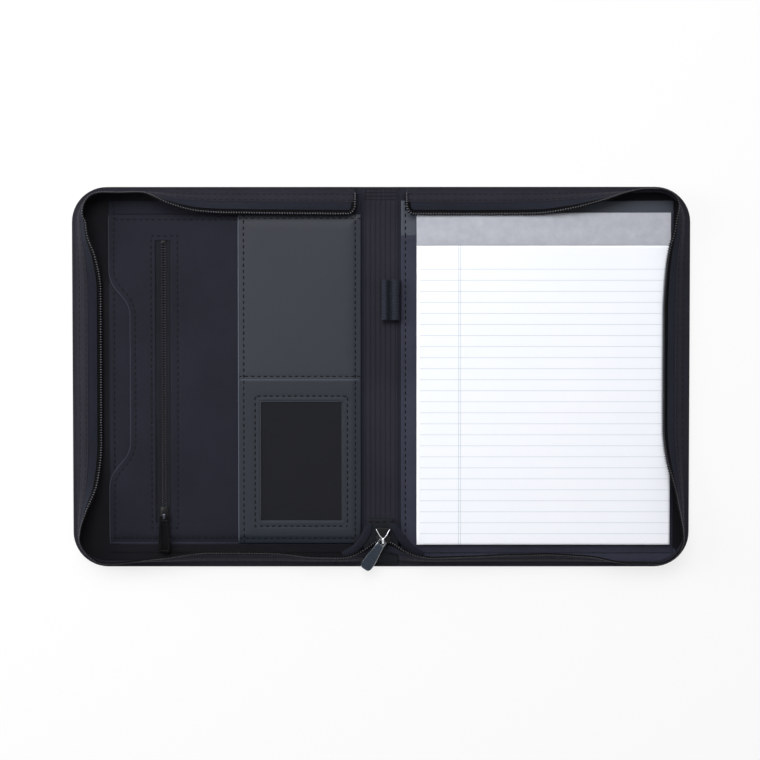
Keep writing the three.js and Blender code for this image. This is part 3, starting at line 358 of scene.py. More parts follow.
studio = {
    "focalPixels": 1500.0,
    "framePixels": 760.0,
    "sensor": 36.0,
    "cameraPlace": (0.8, 30.3, 1286.1),
    "cameraTurn": (-1.458, 0.073, -0.013),
    "floorColour": 0.92,
    "floorGlow": 0.78,        # share of plain white that the camera sees in the floor
    "worldFront": 0.05,       # soft light from the bottom of the picture, and from behind its top
    "worldBack": 0.5,
    "white": (1.0, 1.0, 1.0, 1.0),
    "lamps": {                # place and size in metres, and power
        "top_softbox": ((-0.3, 0.9, 1.6), (1.6, 1.0), 28.0),
        "left_softbox": ((-1.4, 0.3, 0.45), (0.5, 1.4), 16.0),
    },
}


def seenDirectly(tree):
    rays = addNode(tree, "ShaderNodeLightPath")
    straight = maths(tree, "MAXIMUM", rays.outputs["Is Camera Ray"], rays.outputs["Is Glossy Ray"])
    return maths(tree, "MAXIMUM", straight, rays.outputs["Is Transmission Ray"])


def shaderMix(tree, share, a, b, outputKind):
    mixed = addNode(tree, "ShaderNodeMixShader", {0: share, 1: a.outputs[0], 2: b.outputs[0]})
    addNode(tree, outputKind, {0: mixed.outputs[0]})


def makeStage():
    bpy.ops.mesh.primitive_plane_add(size=8.0, location=(0.0, 0.0, -0.0003))
    floor = bpy.context.object
    floor.name = "studio_floor"
    material = bpy.data.materials.new("studio_white")
    material.use_nodes = True
    tree = material.node_tree
    tree.nodes.clear()
    matt = addNode(tree, "ShaderNodeBsdfDiffuse", {"Color": (studio["floorColour"],) * 3 + (1.0,)})
    plain = addNode(tree, "ShaderNodeEmission", {"Color": studio["white"], "Strength": 1.0})
    glow = times(tree, seenDirectly(tree), studio["floorGlow"])
    shaderMix(tree, glow, matt, plain, "ShaderNodeOutputMaterial")
    floor.data.materials.append(material)


def makeLight():
    world = bpy.data.worlds.new("studio")
    scene.world = world
    world.use_nodes = True
    tree = world.node_tree
    tree.nodes.clear()
    height = axes(tree, addNode(tree, "ShaderNodeTexCoord").outputs["Generated"])[1]
    level = addNode(tree, "ShaderNodeMapRange", {0: height, 1: -0.8, 2: 0.8, 3: studio["worldFront"],
                                                 4: studio["worldBack"]}).outputs[0]
    soft = addNode(tree, "ShaderNodeBackground", {"Color": studio["white"], "Strength": level})
    bare = addNode(tree, "ShaderNodeBackground", {"Color": studio["white"], "Strength": 1.0})
    shaderMix(tree, seenDirectly(tree), soft, bare, "ShaderNodeOutputWorld")
    for name, (place, size, power) in studio["lamps"].items():
        lamp = bpy.data.lights.new(name, "AREA")
        lamp.shape = "RECTANGLE"
        lamp.size, lamp.size_y = size
        lamp.energy = power
        made = newObject(name, lamp)
        made.location = place
        made.rotation_euler = (-Vector(place)).to_track_quat("-Z", "Y").to_euler()


def makeCamera():
    lens = bpy.data.cameras.new("camera")
    lens.sensor_width = studio["sensor"]
    lens.lens = studio["focalPixels"] / studio["framePixels"] * studio["sensor"]
    lens.clip_start = 0.01
    made = newObject("camera", lens)
    made.location = [c * mm for c in studio["cameraPlace"]]
    made.rotation_euler = [math.radians(a) for a in studio["cameraTurn"]]
    scene.camera = made


scene.view_settings.view_transform = "Standard"
makeStage()
makeLight()
makeCamera()
print("stage, light and camera ready")


# Mesh building

# Faces between rows of equally many points.
def stripFaces(rows, count, closed=True):
    faces = []
    for i in range(rows - 1):
        for k in range(count if closed else count - 1):
            a = i * count + k
            b = i * count + (k + 1) % count
            faces.append((a, b, b + count, a + count))
    return faces


def endFaces(total, count):
    return [tuple(reversed(range(count))), tuple(range(total - count, total))]


def addMesh(name, points, faces, finish=None, uvs=None):
    mesh = bpy.data.meshes.new(name)
    mesh.from_pydata([[c * mm for c in p] for p in points], [], faces)
    if uvs is not None:
        layer = mesh.uv_layers.new(name="cloth")
        for loop in mesh.loops:
            layer.data[loop.index].uv = [c * mm for c in uvs[loop.vertex_index]]
    if finish is not None:
        mesh.materials.append(finishes[finish])
    work = bmesh.new()
    work.from_mesh(mesh)
    bmesh.ops.recalc_face_normals(work, faces=work.faces)
    work.to_mesh(mesh)
    work.free()
    mesh.shade_smooth()
    return newObject(name, mesh)


# Lengths from a line's first point to each of its points.
def travelled(line):
    lengths = [0.0]
    for before, after in zip(line, line[1:]):
        lengths.append(lengths[-1] + (Vector(after) - Vector(before)).length)
    return lengths


# Closed skin through rings of equally many points. UV runs along the rings and round them.
def loft(name, rings, finish, runs=None):
    count = len(rings[0])
    points = [p for ring in rings for p in ring]
    faces = stripFaces(len(rings), count) + endFaces(len(points), count)
    runs = runs or travelled([ring[0] for ring in rings])
    uvs = [(run, around) for run, ring in zip(runs, rings) for around in travelled(ring)]
    return addMesh(name, points, faces, finish, uvs)


def sharpen(piece, degrees):
    piece.data.set_sharp_from_angle(angle=math.radians(degrees))


def applied(piece):
    graph = bpy.context.evaluated_depsgraph_get()
    solidMesh = bpy.data.meshes.new_from_object(piece.evaluated_get(graph))
    old = piece.data
    piece.modifiers.clear()
    piece.data = solidMesh
    if old.users == 0:
        bpy.data.meshes.remove(old)
    return piece


# replaced: CAD nodes that the piece stands for. fold: x where the bend starts and ends; a piece given it is
# only baked in place and attached to no body, and nothing here bends it.
def place(piece, body, slot, replaced=(), fold=None):
    if replaced:
        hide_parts(*replaced)
    if fold is None:
        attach(piece, body)
    else:
        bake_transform(piece)


# Repeats along a line: the line is resampled at a pitch, and a small shape is set on each point, its X
# along the line and its Z along the "up" attribute. One tree does stitches, teeth and the beads of painted
# glint.
def makeRepeatTree():
    tree = bpy.data.node_groups.new("repeat_along_line", "GeometryNodeTree")
    face = tree.interface
    face.new_socket("Geometry", in_out="INPUT", socket_type="NodeSocketGeometry")
    sizes = {}
    for label, kind in (("Pitch", "Float"), ("Length", "Float"), ("Width", "Float"), ("Height", "Float"),
                        ("Waver", "Float"), ("Shape", "Object"), ("Finish", "Material")):
        sizes[label] = face.new_socket(label, in_out="INPUT", socket_type="NodeSocket" + kind).identifier
    face.new_socket("Geometry", in_out="OUTPUT", socket_type="NodeSocketGeometry")
    source = addNode(tree, "NodeGroupInput")
    sockets = {s.name: s for s in source.outputs}
    line = addNode(tree, "GeometryNodeMeshToCurve", {0: sockets["Geometry"]}).outputs[0]
    spacing = {"Curve": line, "Length": sockets["Pitch"]}
    even = addNode(tree, "GeometryNodeResampleCurve", spacing, mode="LENGTH").outputs[0]
    shape = addNode(tree, "GeometryNodeObjectInfo", {"Object": sockets["Shape"]}).outputs["Geometry"]
    tangent = addNode(tree, "GeometryNodeInputTangent").outputs[0]
    named = addNode(tree, "GeometryNodeInputNamedAttribute", {"Name": "up"}, data_type="FLOAT_VECTOR")
    up = named.outputs[0]
    along = addNode(tree, "FunctionNodeAlignRotationToVector", {"Vector": tangent}, axis="X").outputs[0]
    turned = addNode(tree, "FunctionNodeAlignRotationToVector", {"Rotation": along, "Vector": up},
                     axis="Z", pivot_axis="X").outputs[0]
    chance = addNode(tree, "FunctionNodeRandomValue", {"Seed": 7}, data_type="FLOAT")
    setInputs(chance, {2: times(tree, sockets["Waver"], -1.0), 3: sockets["Waver"]})
    waver = addNode(tree, "ShaderNodeCombineXYZ", {2: chance.outputs[1]}).outputs[0]
    aimed = addNode(tree, "FunctionNodeRotateRotation", {0: turned, 1: waver}, rotation_space="LOCAL")
    scale = {0: sockets["Length"], 1: sockets["Width"], 2: sockets["Height"]}
    size = addNode(tree, "ShaderNodeCombineXYZ", scale).outputs[0]
    copying = {"Points": even, "Instance": shape, "Rotation": aimed.outputs[0], "Scale": size}
    copies = addNode(tree, "GeometryNodeInstanceOnPoints", copying).outputs[0]
    real = addNode(tree, "GeometryNodeRealizeInstances", {0: copies}).outputs[0]
    painting = {"Geometry": real, "Material": sockets["Finish"]}
    painted = addNode(tree, "GeometryNodeSetMaterial", painting).outputs[0]
    smooth = addNode(tree, "GeometryNodeSetShadeSmooth", {0: painted}).outputs[0]
    addNode(tree, "NodeGroupOutput", {0: smooth})
    return tree, sizes


repeatTree, repeatSizes = makeRepeatTree()


# Small shapes, a metre long, that the tree scales and copies. rings: (x, radius) along the shape.
def capsule(name, rings, sides=6):
    turns = [2 * math.pi * k / sides for k in range(sides)]
    points = [(x / mm, r * math.cos(a) / mm, r * math.sin(a) / mm) for x, r in rings for a in turns]
    made = addMesh(name, points, stripFaces(len(rings), sides) + endFaces(len(points), sides))
    scene.collection.objects.unlink(made)
    return made


stitchShape = capsule("stitch_shape", [(-0.5, 0.12), (-0.4, 0.4), (0.0, 0.5), (0.4, 0.4), (0.5, 0.12)])
toothShape = capsule("tooth_shape", [(-0.5, 0.2), (-0.36, 0.44), (0.0, 0.5), (0.36, 0.44), (0.5, 0.2)])


# lines: lists of (point, up). Each is one row of copies, all in one piece.
# sizes: pitch along the line, then a copy's length, width and height.
def repeatAlong(name, lines, finish, shape, sizes, waver=0.0):
    points = []
    ups = []
    edges = []
    for line in lines:
        for i, (p, up) in enumerate(line):
            if i:
                edges.append((len(points) - 1, len(points)))
            points.append([c * mm for c in p])
            ups.extend(up)
    mesh = bpy.data.meshes.new(name)
    mesh.from_pydata(points, edges, [])
    mesh.attributes.new("up", "FLOAT_VECTOR", "POINT").data.foreach_set("vector", ups)
    made = newObject(name, mesh)
    modifier = made.modifiers.new("repeat", "NODES")
    modifier.node_group = repeatTree
    for label, size in zip(("Pitch", "Length", "Width", "Height"), sizes):
        modifier[repeatSizes[label]] = size * mm
    for label, value in (("Waver", waver), ("Shape", shape), ("Finish", finishes[finish])):
        modifier[repeatSizes[label]] = value
    return applied(made)


# Dashes of thread just proud of the cloth, along rows of points on its surface.
def stitchRow(name, rows, sizes):
    lines = [[(p, upward) for p in row] for row in rows]
    return repeatAlong(name, lines, "thread", stitchShape, sizes, 0.05)


# The zip band, as the CAD has it: runs 0 to 5 go round a cover from the spine's top end to the slider.

band = {
    "inset": 4.5,            # cover's edge to the foot of the band
    "gusset": 11.5,          # height of the gusset cloth
    "thickness": 1.0,
    "tapeUpright": 5.4,
    "tapeFolded": 9.2,
    "tapeThickness": 0.6,
    "start": 19.9,           # where the coil turns down beside the spine
    "turn": 8.0,
    "sliderX": 1.7,
    "chainInSlider": 4.3,
    "fold": 0.970,           # angle of the folded gusset
    "softFrom": 38.0,        # where the cloth starts to bend with the spine
    "softTo": 15.0,
    "tooth": (2.15, 1.15, 4.4, 1.5),     # pitch, and a tooth's length along the chain, width and height
    "paintedGlint": (2.15, 0.7, 1.3, 0.5),      # its lit tip: brighter beads, a painted glint along the chain
    "toothShift": (0.3, 0.5),            # out and up from the tape's edge line
    "paintedGlintShift": (0.35, 1.2),
    "cordShadeEdges": (-2.9, 1.0),
    "endAway": 2.4,                      # the coil's straight end stands this much away from the spine
    "stitch": (5.2, 3.0, 0.95, 0.55),
    "seams": ((3.1, 0.08), (9.4, 0.06)),     # height up the gusset, and how deep the thread sits
    # sections of the gusset: the foot as (out, up), its two faces as (length of cloth, lift)
    "foot": ((2.9, 0.0), (3.3, 0.12), (3.4, 0.4), (3.2, 0.68), (2.5, 0.76), (1.9, 0.55), (1.3, 0.78),
             (0.75, 0.86)),
    "outer": ((1.4, 0.1), (2.6, 0.02), (3.1, -0.16), (3.6, 0.02), (5.2, 0.1), (7.2, 0.12), (8.8, 0.06),
              (9.4, -0.12), (9.9, 0.06), (10.8, 0.12), (11.35, -0.05)),
    "inner": ((11.35, 0.1), (10.4, 0.0), (8.0, 0.0), (5.0, 0.0), (2.0, 0.0)),
    # how far the band leans in, by run: 0 is upright and 1 is folded
    "leanLeft": [(0, 1), (0.4, 0.95), (0.63, 0.85), (0.74, 0.55), (0.86, 0.12), (1.2, 0.12), (1.7, 0.32),
                 (2.04, 0.58), (2.12, 0.9), (2.22, 1.17), (2.7, 1.17), (2.84, 0.92), (2.93, 0.48), (3, 0.24),
                 (3.6, 0.16), (4, 0.06), (4.2, 0.26), (4.4, 0.48), (4.58, 0.48), (4.8, 0.3), (4.89, 0.33),
                 (4.95, 0.6), (5, 0.92)],
    "leanRight": [(0, 1), (0.52, 0.98), (0.64, 0.78), (0.76, 0.48), (0.87, 0.14), (0.96, 0), (1.3, 0.06),
                  (1.5, 0.18), (1.75, 0.42), (1.9, 0.5), (2.02, 0.55), (2.09, 0.76), (2.19, 0.93), (2.29, 1),
                  (2.66, 1), (2.76, 0.84), (2.86, 0.5), (2.94, 0.32), (3, 0.22), (3.6, 0.1), (4.1, 0.06),
                  (4.25, 0.32), (4.42, 0.42), (4.65, 0.34), (4.82, 0.3), (4.9, 0.4), (4.95, 0.62),
                  (5, 0.92)],
}
edgeX = folder["reach"] - band["inset"]
edgeY = folder["halfHeight"] - band["inset"]
edgeRadius = folder["corner"] - band["inset"]
cornerX = edgeX - edgeRadius
cornerY = edgeY - edgeRadius
topRun = cornerX - band["start"]


# Lengths in millimetres of the five runs along the foot.
def runLengths(side):
    quarter = edgeRadius * math.pi / 2
    chainEnd = side * band["sliderX"] + band["chainInSlider"]
    return [topRun, quarter, 2 * cornerY, quarter, cornerX - chainEnd]


def leanAt(side, run):
    keys = band["leanLeft"] if side < 0 else band["leanRight"]
    i = 0
    while i + 2 < len(keys) and run > keys[i + 1][0]:
        i += 1

    def slope(k):
        before = keys[max(k - 1, 0)]
        after = keys[min(k + 1, len(keys) - 1)]
        if (keys[k][1] - before[1]) * (after[1] - keys[k][1]) <= 0:
            return 0.0
        return (after[1] - before[1]) / (after[0] - before[0])

    span = keys[i + 1][0] - keys[i][0]
    t = min(max((run - keys[i][0]) / span, 0.0), 1.0)
    return ((2 * t ** 3 - 3 * t ** 2 + 1) * keys[i][1] + (t ** 3 - 2 * t ** 2 + t) * span * slope(i)
            + (3 * t ** 2 - 2 * t ** 3) * keys[i + 1][1] + (t ** 3 - t ** 2) * span * slope(i + 1))


# A point on the foot line and the direction in from it.
def footAt(side, run):
    def turn(angle, y):
        c, s = math.cos(angle), math.sin(angle)
        return cornerX + edgeRadius * c, y + edgeRadius * s, -c, -s

    if run <= 1:
        return band["start"] + topRun * run, edgeY, 0.0, -1.0
    if run <= 2:
        return turn(math.pi / 2 * (2 - run), cornerY)
    if run <= 3:
        return edgeX, cornerY - 2 * cornerY * (run - 2), -1.0, 0.0
    if run <= 4:
        return turn(-math.pi / 2 * (run - 3), -cornerY)
    return cornerX - runLengths(side)[4] * (run - 4), -edgeY, 0.0, 1.0


# How far in and how high the band is after a length of cloth, and its heading. The cloth bends evenly
# between the headings that the CAD's straight legs have.
def bandCurve(lean, length):
    gusset, tape = band["gusset"], band["tapeUpright"]
    places = (gusset / 4, gusset * 0.75, gusset + tape / 4, gusset + tape)
    headings = (band["fold"] - 0.14, band["fold"] + 0.14, 1.4, 1.56)
    steps = max(int(length / 0.9), 1)
    across = up = 0.0
    for i in range(steps):
        heading = lean * float(np.interp(length * (i + 0.5) / steps, places, headings))
        across += length / steps * math.sin(heading)
        up += length / steps * math.cos(heading)
    return across, up, heading


def tapeReach(side, run):
    upright = band["tapeUpright"]
    return band["gusset"] + upright + (band["tapeFolded"] - upright) * leanAt(side, run)


def bandPoint(side, run, length, offset):
    x, y, inX, inY = footAt(side, run)
    across, up, heading = bandCurve(leanAt(side, run), length)
    across -= offset * math.cos(heading)
    up += offset * math.sin(heading)
    return side * (x + inX * across), y + inY * across, folder["lining"] + up


def runAtBottom(side, x):
    return 4 + (cornerX - x) / runLengths(side)[4]


def runAtTop(x):
    return (x - band["start"]) / topRun


# Lengths in millimetres along the foot, so that a pattern keeps its scale round the corners.
def footTravel(side, run):
    lengths = runLengths(side)
    whole = min(int(run), 4)
    return sum(lengths[:whole]) + lengths[whole] * (run - whole)


def runsBetween(side, start, end, step):
    first, last = footTravel(side, start), footTravel(side, end)
    lengths = runLengths(side)
    count = max(int(round((last - first) / step)), 2)
    runs = []
    for i in range(count + 1):
        left = first + (last - first) * i / count
        k = 0
        while k < 4 and left > lengths[k]:
            left -= lengths[k]
            k += 1
        runs.append(k + left / lengths[k])
    return runs


# Small waves that handled cloth has, the same on every run.
def ripple(side, run, length):
    travel = footTravel(side, run)
    share = length / (band["gusset"] + band["tapeUpright"])
    return (0.196 * math.sin(travel / 17.0 + side) + 0.112 * math.sin(travel / 6.3 + 2.0 * side)) * share


def onCloth(side, run, length, offset):
    return bandPoint(side, run, length, offset + ripple(side, run, length))


def turnedTop(side, run):
    full = tapeReach(side, run)
    gone = band["turn"] - run * topRun
    if gone <= 0:
        return full
    return full - band["turn"] + math.sqrt(max(band["turn"] ** 2 - gone ** 2, 0.0))


def gussetRing(side, run):
    half = band["thickness"] / 2
    x, y, inX, inY = footAt(side, run)
    foot = [(side * (x - inX * out), y - inY * out, folder["lining"] + up)
            for out, up in band["foot"] + ((-half, 0.3), (-half, 0.0))]
    outer = [onCloth(side, run, length, half + lift) for length, lift in band["outer"]]
    inner = [onCloth(side, run, length, -half + lift) for length, lift in band["inner"]]
    return foot[:-2] + outer + inner + foot[-2:]


def tapeRing(side, run):
    skin = band["tapeThickness"] * 0.4
    low = band["gusset"] - 0.6
    high = max(turnedTop(side, run) - 0.6, low + 1.2)
    lengths = [low + (high - low) * t for t in (0.0, 0.12, 0.3, 0.5, 0.7, 0.88, 1.0)]
    tip = bandPoint(side, run, high + 0.25, ripple(side, run, high))
    return ([onCloth(side, run, length, skin) for length in lengths] + [tip]
            + [onCloth(side, run, length, -skin) for length in reversed(lengths)])


# The edge line of the tape with the coil on it: down beside the spine, round the turn, and along.
# Each point is (run, length of cloth, outward direction along the foot and up the cloth).
def coilLine(side):
    low = 3.0
    turn = band["turn"]
    straight = tapeReach(side, 0) - turn
    away = band["endAway"] / topRun
    line = [(away, low + (straight - low) * i / 12, (1.0, 0.0)) for i in range(12)]
    for i in range(13):
        angle = math.pi / 2 * i / 12
        out = (math.cos(angle), math.sin(angle))
        run = turn * (1 - out[0]) / topRun
        line.append((run + away * out[0], tapeReach(side, run) - turn * (1 - out[1]), out))
    for run in runsBetween(side, turn / topRun, 5.0, 2.0)[1:]:
        line.append((run, tapeReach(side, run), (0.0, 1.0)))
    return line


def besideLine(side, step, shift, offset):
    run, length, out = step
    offset += ripple(side, run, length)
    return bandPoint(side, run - shift * out[0] / topRun, length + shift * out[1], offset)


# The coil's sewing cord and tape edge, a flat near-black strip along the same line and wider than the cord:
# partly the cord, partly painted shade beside the coil.
def cordShadeRing(side, step):
    inner, outer = band["cordShadeEdges"]
    section = ((inner, 0.25), (inner + 0.3, 0.48), (0.0, 0.55), (outer - 0.3, 0.48), (outer, 0.2),
               (outer - 0.2, -0.35), (0.0, -0.42), (inner, -0.1))
    return [besideLine(side, step, shift, offset) for shift, offset in section]


# Points of the coil for the repeat tree. Its teeth stand across the line, so a tooth's long side is Y.
def coilPoints(side, line, shift, rise):
    made = []
    for step in line:
        at = Vector(besideLine(side, step, shift, rise))
        above = Vector(besideLine(side, step, shift, rise + 1.0))
        made.append((tuple(at), tuple((above - at).normalized())))
    return made


def bendZone(side):
    return side * band["softTo"], side * (band["softFrom"] - 2.0)


def bandSeam(side, length, offset, start, end):
    made = []
    for run in runsBetween(side, start, end, 3.0):
        up = Vector(bandPoint(side, run, length, offset + 1)) - Vector(bandPoint(side, run, length, offset))
        made.append((onCloth(side, run, length, offset), tuple(up.normalized())))
    return made


def makeBand(side, word):
    body = word + "_cover"
    top = runAtTop(band["start"] + 1.3)
    split = runAtBottom(side, band["softFrom"])
    soft = runAtBottom(side, band["softTo"])
    tapeTop = runAtTop(band["start"] + 3.0)
    tapeEven = runAtTop(band["start"] + 9.0)
    tapeRuns = [tapeTop + (tapeEven - tapeTop) * i / 8 for i in range(8)]
    tapeRuns += runsBetween(side, tapeEven, split, 3.0)
    zone = bendZone(side)
    wallRuns = runsBetween(side, top, split, 3.0)
    bendRuns = runsBetween(side, split, soft, 2.5)
    for name, ring, finish, runs, replaced, fold in (
            ("gusset_cloth", gussetRing, "gusset", wallRuns, ["_gusset"], None),
            ("gusset_bend", gussetRing, "gusset", bendRuns, ["_gusset_fold"], zone),
            ("tape_cloth", tapeRing, "tape", tapeRuns, ["_zip_tape"], None),
            ("tape_bend", tapeRing, "tape", runsBetween(side, split, 5.0, 2.0), [], zone)):
        travel = [footTravel(side, run) for run in runs]
        cloth = loft(word + "_" + name, [ring(side, run) for run in runs], finish, travel)
        place(cloth, body, finish + "_cloth", [word + node for node in replaced], fold)

    line = coilLine(side)
    main = [p for p in line if p[0] <= split]
    bend = [main[-1]] + [p for p in line if p[0] > split]
    for part, points, replaced, fold in (("teeth", main, [word + "_zip_coil"], None),
                                         ("teeth_bend", bend, (), zone)):
        rows = [coilPoints(side, points, *band["toothShift"])]
        teeth = repeatAlong(word + "_zip_" + part, rows, "coil", toothShape, band["tooth"])
        place(teeth, body, "coil_plastic", replaced, fold)
        cord = loft(word + "_zip_cord_" + part, [cordShadeRing(side, step) for step in points], "coilCordShade")
        place(cord, body, "coil_plastic", (), fold)
        # Brighter beads down the chain's middle are a painted glint.
        rows = [coilPoints(side, points, *band["paintedGlintShift"])]
        paintedGlint = repeatAlong(word + "_zip_shine_" + part, rows, "paintedCoilGlint", toothShape, band["paintedGlint"])
        place(paintedGlint, body, "coil_plastic", (), fold)

    half = band["thickness"] / 2
    for name, start, end, fold in (("_band_stitches", top, split, None),
                                   ("_band_stitches_bend", split, soft, zone)):
        rows = [bandSeam(side, length, half - sunk, start, end) for length, sunk in band["seams"]]
        seams = repeatAlong(word + name, rows, "thread", stitchShape, band["stitch"], 0.05)
        place(seams, body, "gusset_cloth", (), fold)


for side, word in hands:
    makeBand(side, word)
print("zip band made")


# Flat sewn panels. A panel is cut from outlines, with rows of points beside each edge for its fold and
# seams and a grid inside, then given its height, its thickness and a rounded edge.

def openLine(corners, step):
    made = []
    for (x, y), (nextX, nextY) in zip(corners, corners[1:]):
        count = max(int(math.hypot(nextX - x, nextY - y) / step), 1)
        made += [(x + (nextX - x) * k / count, y + (nextY - y) * k / count) for k in range(count)]
    return made


def polyline(corners, step):
    return openLine(corners + corners[:1], step)


def rectangle(left, right, bottom, top):
    return [(left, bottom), (right, bottom), (right, top), (left, top)]


# A loop moved inwards by a distance, with mitred corners. A hole's loop moves out of the hole.
def movedIn(loop, distance, hole=False):
    p = np.array(loop, float)
    q = np.roll(p, -1, axis=0)
    turn = 1.0 if (p[:, 0] * q[:, 1] - q[:, 0] * p[:, 1]).sum() > 0 else -1.0
    if hole:
        turn = -turn

    def normal(line):
        line = line / np.linalg.norm(line, axis=1)[:, None]
        return np.stack([-line[:, 1], line[:, 0]], 1) * turn

    middle = normal(p - np.roll(p, 1, axis=0)) + normal(q - p)
    middle /= np.maximum((middle ** 2).sum(1), 0.8)[:, None]
    return [tuple(v) for v in p + middle * 2 * distance]


def inside(points, loop):
    x, y = points[:, 0], points[:, 1]
    p = np.array(loop)
    hit = np.zeros(len(points), bool)
    for (ax, ay), (bx, by) in zip(p, np.roll(p, -1, axis=0)):
        at = (bx - ax) * (y - ay) / (by - ay if by != ay else 1e-9) + ax
        hit ^= ((ay > y) != (by > y)) & (x < at)
    return hit


# Which points are on the cloth: inside the first loop and outside the others, its holes.
def onPanel(points, loops):
    good = inside(points, loops[0])
    for hole in loops[1:]:
        good &= ~inside(points, hole)
    return good


def edgeDistance(points, *loops):
    best = np.full(len(points), 1e9)
    for loop in loops:
        p = np.array(loop)
        for a, b in zip(p, np.roll(p, -1, axis=0)):
            d = b - a
            t = np.clip(((points - a) @ d) / max(d @ d, 1e-12), 0, 1)
            best = np.minimum(best, np.hypot(*(points - a - t[:, None] * d).T))
    return best


def panelPoints(loops, step, grid, rows):
    edges = [polyline(loop, step) for loop in loops]
    beside = np.array([p for k, loop in enumerate(edges) for row in rows
                       for p in movedIn(loop, row, hole=k > 0)])
    beside = beside[edgeDistance(beside, *loops) > rows[0] * 0.7]
    low, high = np.min(loops[0], axis=0), np.max(loops[0], axis=0)
    gx, gy = np.meshgrid(np.arange(low[0] + grid, high[0], grid), np.arange(low[1] + grid, high[1], grid))
    gx[1::2] += grid / 2
    filler = np.stack([gx.ravel(), gy.ravel()], 1)
    filler = filler[edgeDistance(filler, *loops) > rows[-1] + grid * 0.4]
    loose = np.concatenate([beside, filler])
    return edges, loose[onPanel(loose, loops)]


def panelFaces(loops, edges, loose):
    flat = [Vector(v) for loop in edges for v in loop] + [Vector(v) for v in loose]
    bounds = []
    base = 0
    for loop in edges:
        bounds += [(base + k, base + (k + 1) % len(loop)) for k in range(len(loop))]
        base += len(loop)
    verts, _, faces, _, _, _ = geometry.delaunay_2d_cdt(flat, bounds, [], 1, 1e-5)
    verts = np.array([tuple(v) for v in verts])
    centres = np.array([verts[list(f)].mean(0) for f in faces])
    faces = [f for f, good in zip(faces, onPanel(centres, loops)) if good]
    used = sorted({v for f in faces for v in f})
    index = {v: i for i, v in enumerate(used)}
    return verts[used], [tuple(index[v] for v in f) for f in faces]


# height(x, y, outer): outer is the distance in from the outline.
def panel(name, outline, holes, height, thickness, finish, step=3.0, grid=7.0,
          rows=(0.8, 1.8, 3.2, 4.3, 5.4, 7.0), lip=0.25):
    loops = [outline] + holes
    verts, faces = panelFaces(loops, *panelPoints(loops, step, grid, rows))
    tops = height(verts[:, 0], verts[:, 1], edgeDistance(verts, outline))
    total = len(verts)
    points = [(x, y, z - drop) for drop in (0.0, thickness) for (x, y), z in zip(verts, tops)]
    mesh = faces + [tuple(reversed([v + total for v in f])) for f in faces]
    sides = {(f[k], f[(k + 1) % len(f)]): True for f in faces for k in range(len(f))}
    rim = [(a, b) for a, b in sides if (b, a) not in sides]
    outward = {v: np.zeros(2) for v in sorted({v for side in rim for v in side})}
    for a, b in rim:
        d = verts[b] - verts[a]
        n = np.array([d[1], -d[0]]) / max(np.hypot(*d), 1e-9)
        outward[a] += n
        outward[b] += n
    middle = {}
    for v, n in outward.items():
        x, y = verts[v] + n / max(np.hypot(*n), 1e-9) * lip
        middle[v] = len(points)
        points.append((x, y, tops[v] - thickness / 2))
    for a, b in rim:
        mesh += [(b, a, middle[a], middle[b]), (middle[b], middle[a], a + total, b + total)]
    return addMesh(name, points, mesh, finish)


# Faces whose middle lies below y take another finish.
def footFinish(piece, y, finish):
    piece.data.materials.append(finishes[finish])
    for face in piece.data.polygons:
        face.material_index = 1 if face.center.y < y * mm else 0


def dip(distance, at, width, depth):
    return -depth * np.exp(-((distance - at) / width) ** 2)


# Slow waves of the cloth, cut off above a level so that it never rises out of its place.
def waves(x, y, size, seed, most=0.0):
    rise = np.sin(x / 23.0 + seed) * np.sin(y / 31.0 + 2.1 * seed)
    rise += 0.5 * np.sin((x + y) / 14.0 + seed * 3.0) + 0.3 * np.sin((x - 0.6 * y) / 9.0 + seed)
    return np.minimum(size * rise, most) - most


def eased(t):
    t = np.clip(t, 0, 1)
    return t * t * (3 - 2 * t)


# The last stretch beside an edge falls to the layer below, as a turned and sewn edge does.
def edgeFall(distance, reach, drop):
    return -drop * (1 - eased(distance / reach))


# Cover cloth: across the underside, round the board's edge and over it.

# the turned edge, as (in from the cover's edge, height)
coverEdge = [(1.9, 2.86), (1.5, 3.18), (0.9, 3.24), (0.35, 3.02), (0.06, 2.5), (0.0, 1.7), (0.05, 0.95),
             (0.32, 0.35), (0.9, 0.06), (1.8, 0.0)]
spineClothHalf = folder["fold"] - 3.4


def thickened(piece):
    shell = piece.modifiers.new("thickness", "SOLIDIFY")
    shell.thickness = 0.5 * mm
    shell.offset = -1.0
    return applied(piece)


def coverCloth(side, word):
    reach, half, corner = folder["reach"], folder["halfHeight"], folder["corner"]
    start = spineClothHalf
    xs = [start + k * 0.9 for k in range(9)] + list(np.linspace(start + 8.6, reach - corner, 36))
    turns = [(math.sin(a), math.cos(a)) for a in (math.pi / 2 * k / 12 for k in range(1, 13))]
    stations = [(x, half, 0.0, 1.0) for x in xs]
    stations += [(reach - corner + corner * s, half - corner + corner * c, s, c) for s, c in turns]
    upper = list(stations)
    stations += [(reach, y, 1.0, 0.0) for y in np.linspace(half - corner, corner - half, 40)[1:-1]]
    stations += [(x, -y, nx, -ny) for x, y, nx, ny in reversed(upper)]
    points = [(side * (x - nx * inset), y - ny * inset, z)
              for x, y, nx, ny in stations for inset, z in coverEdge]
    wide = len(coverEdge)
    faces = stripFaces(len(stations), wide, closed=False)
    low = [i * wide + wide - 1 for i in range(len(stations))]
    faces += [(low[i], low[i + 1], low[-i - 2], low[-i - 1]) for i in range(len(xs) - 1)]
    faces.append(tuple(low[len(xs) - 1:len(low) - len(xs) + 1]))
    made = thickened(addMesh(word + "_cover_cloth", points, faces, "coverCloth"))
    place(made, word + "_cover", "cover_cloth", [word + "_outer_skin"],
          (side * (folder["fold"] - 3.2), side * (folder["fold"] + 3.2)))


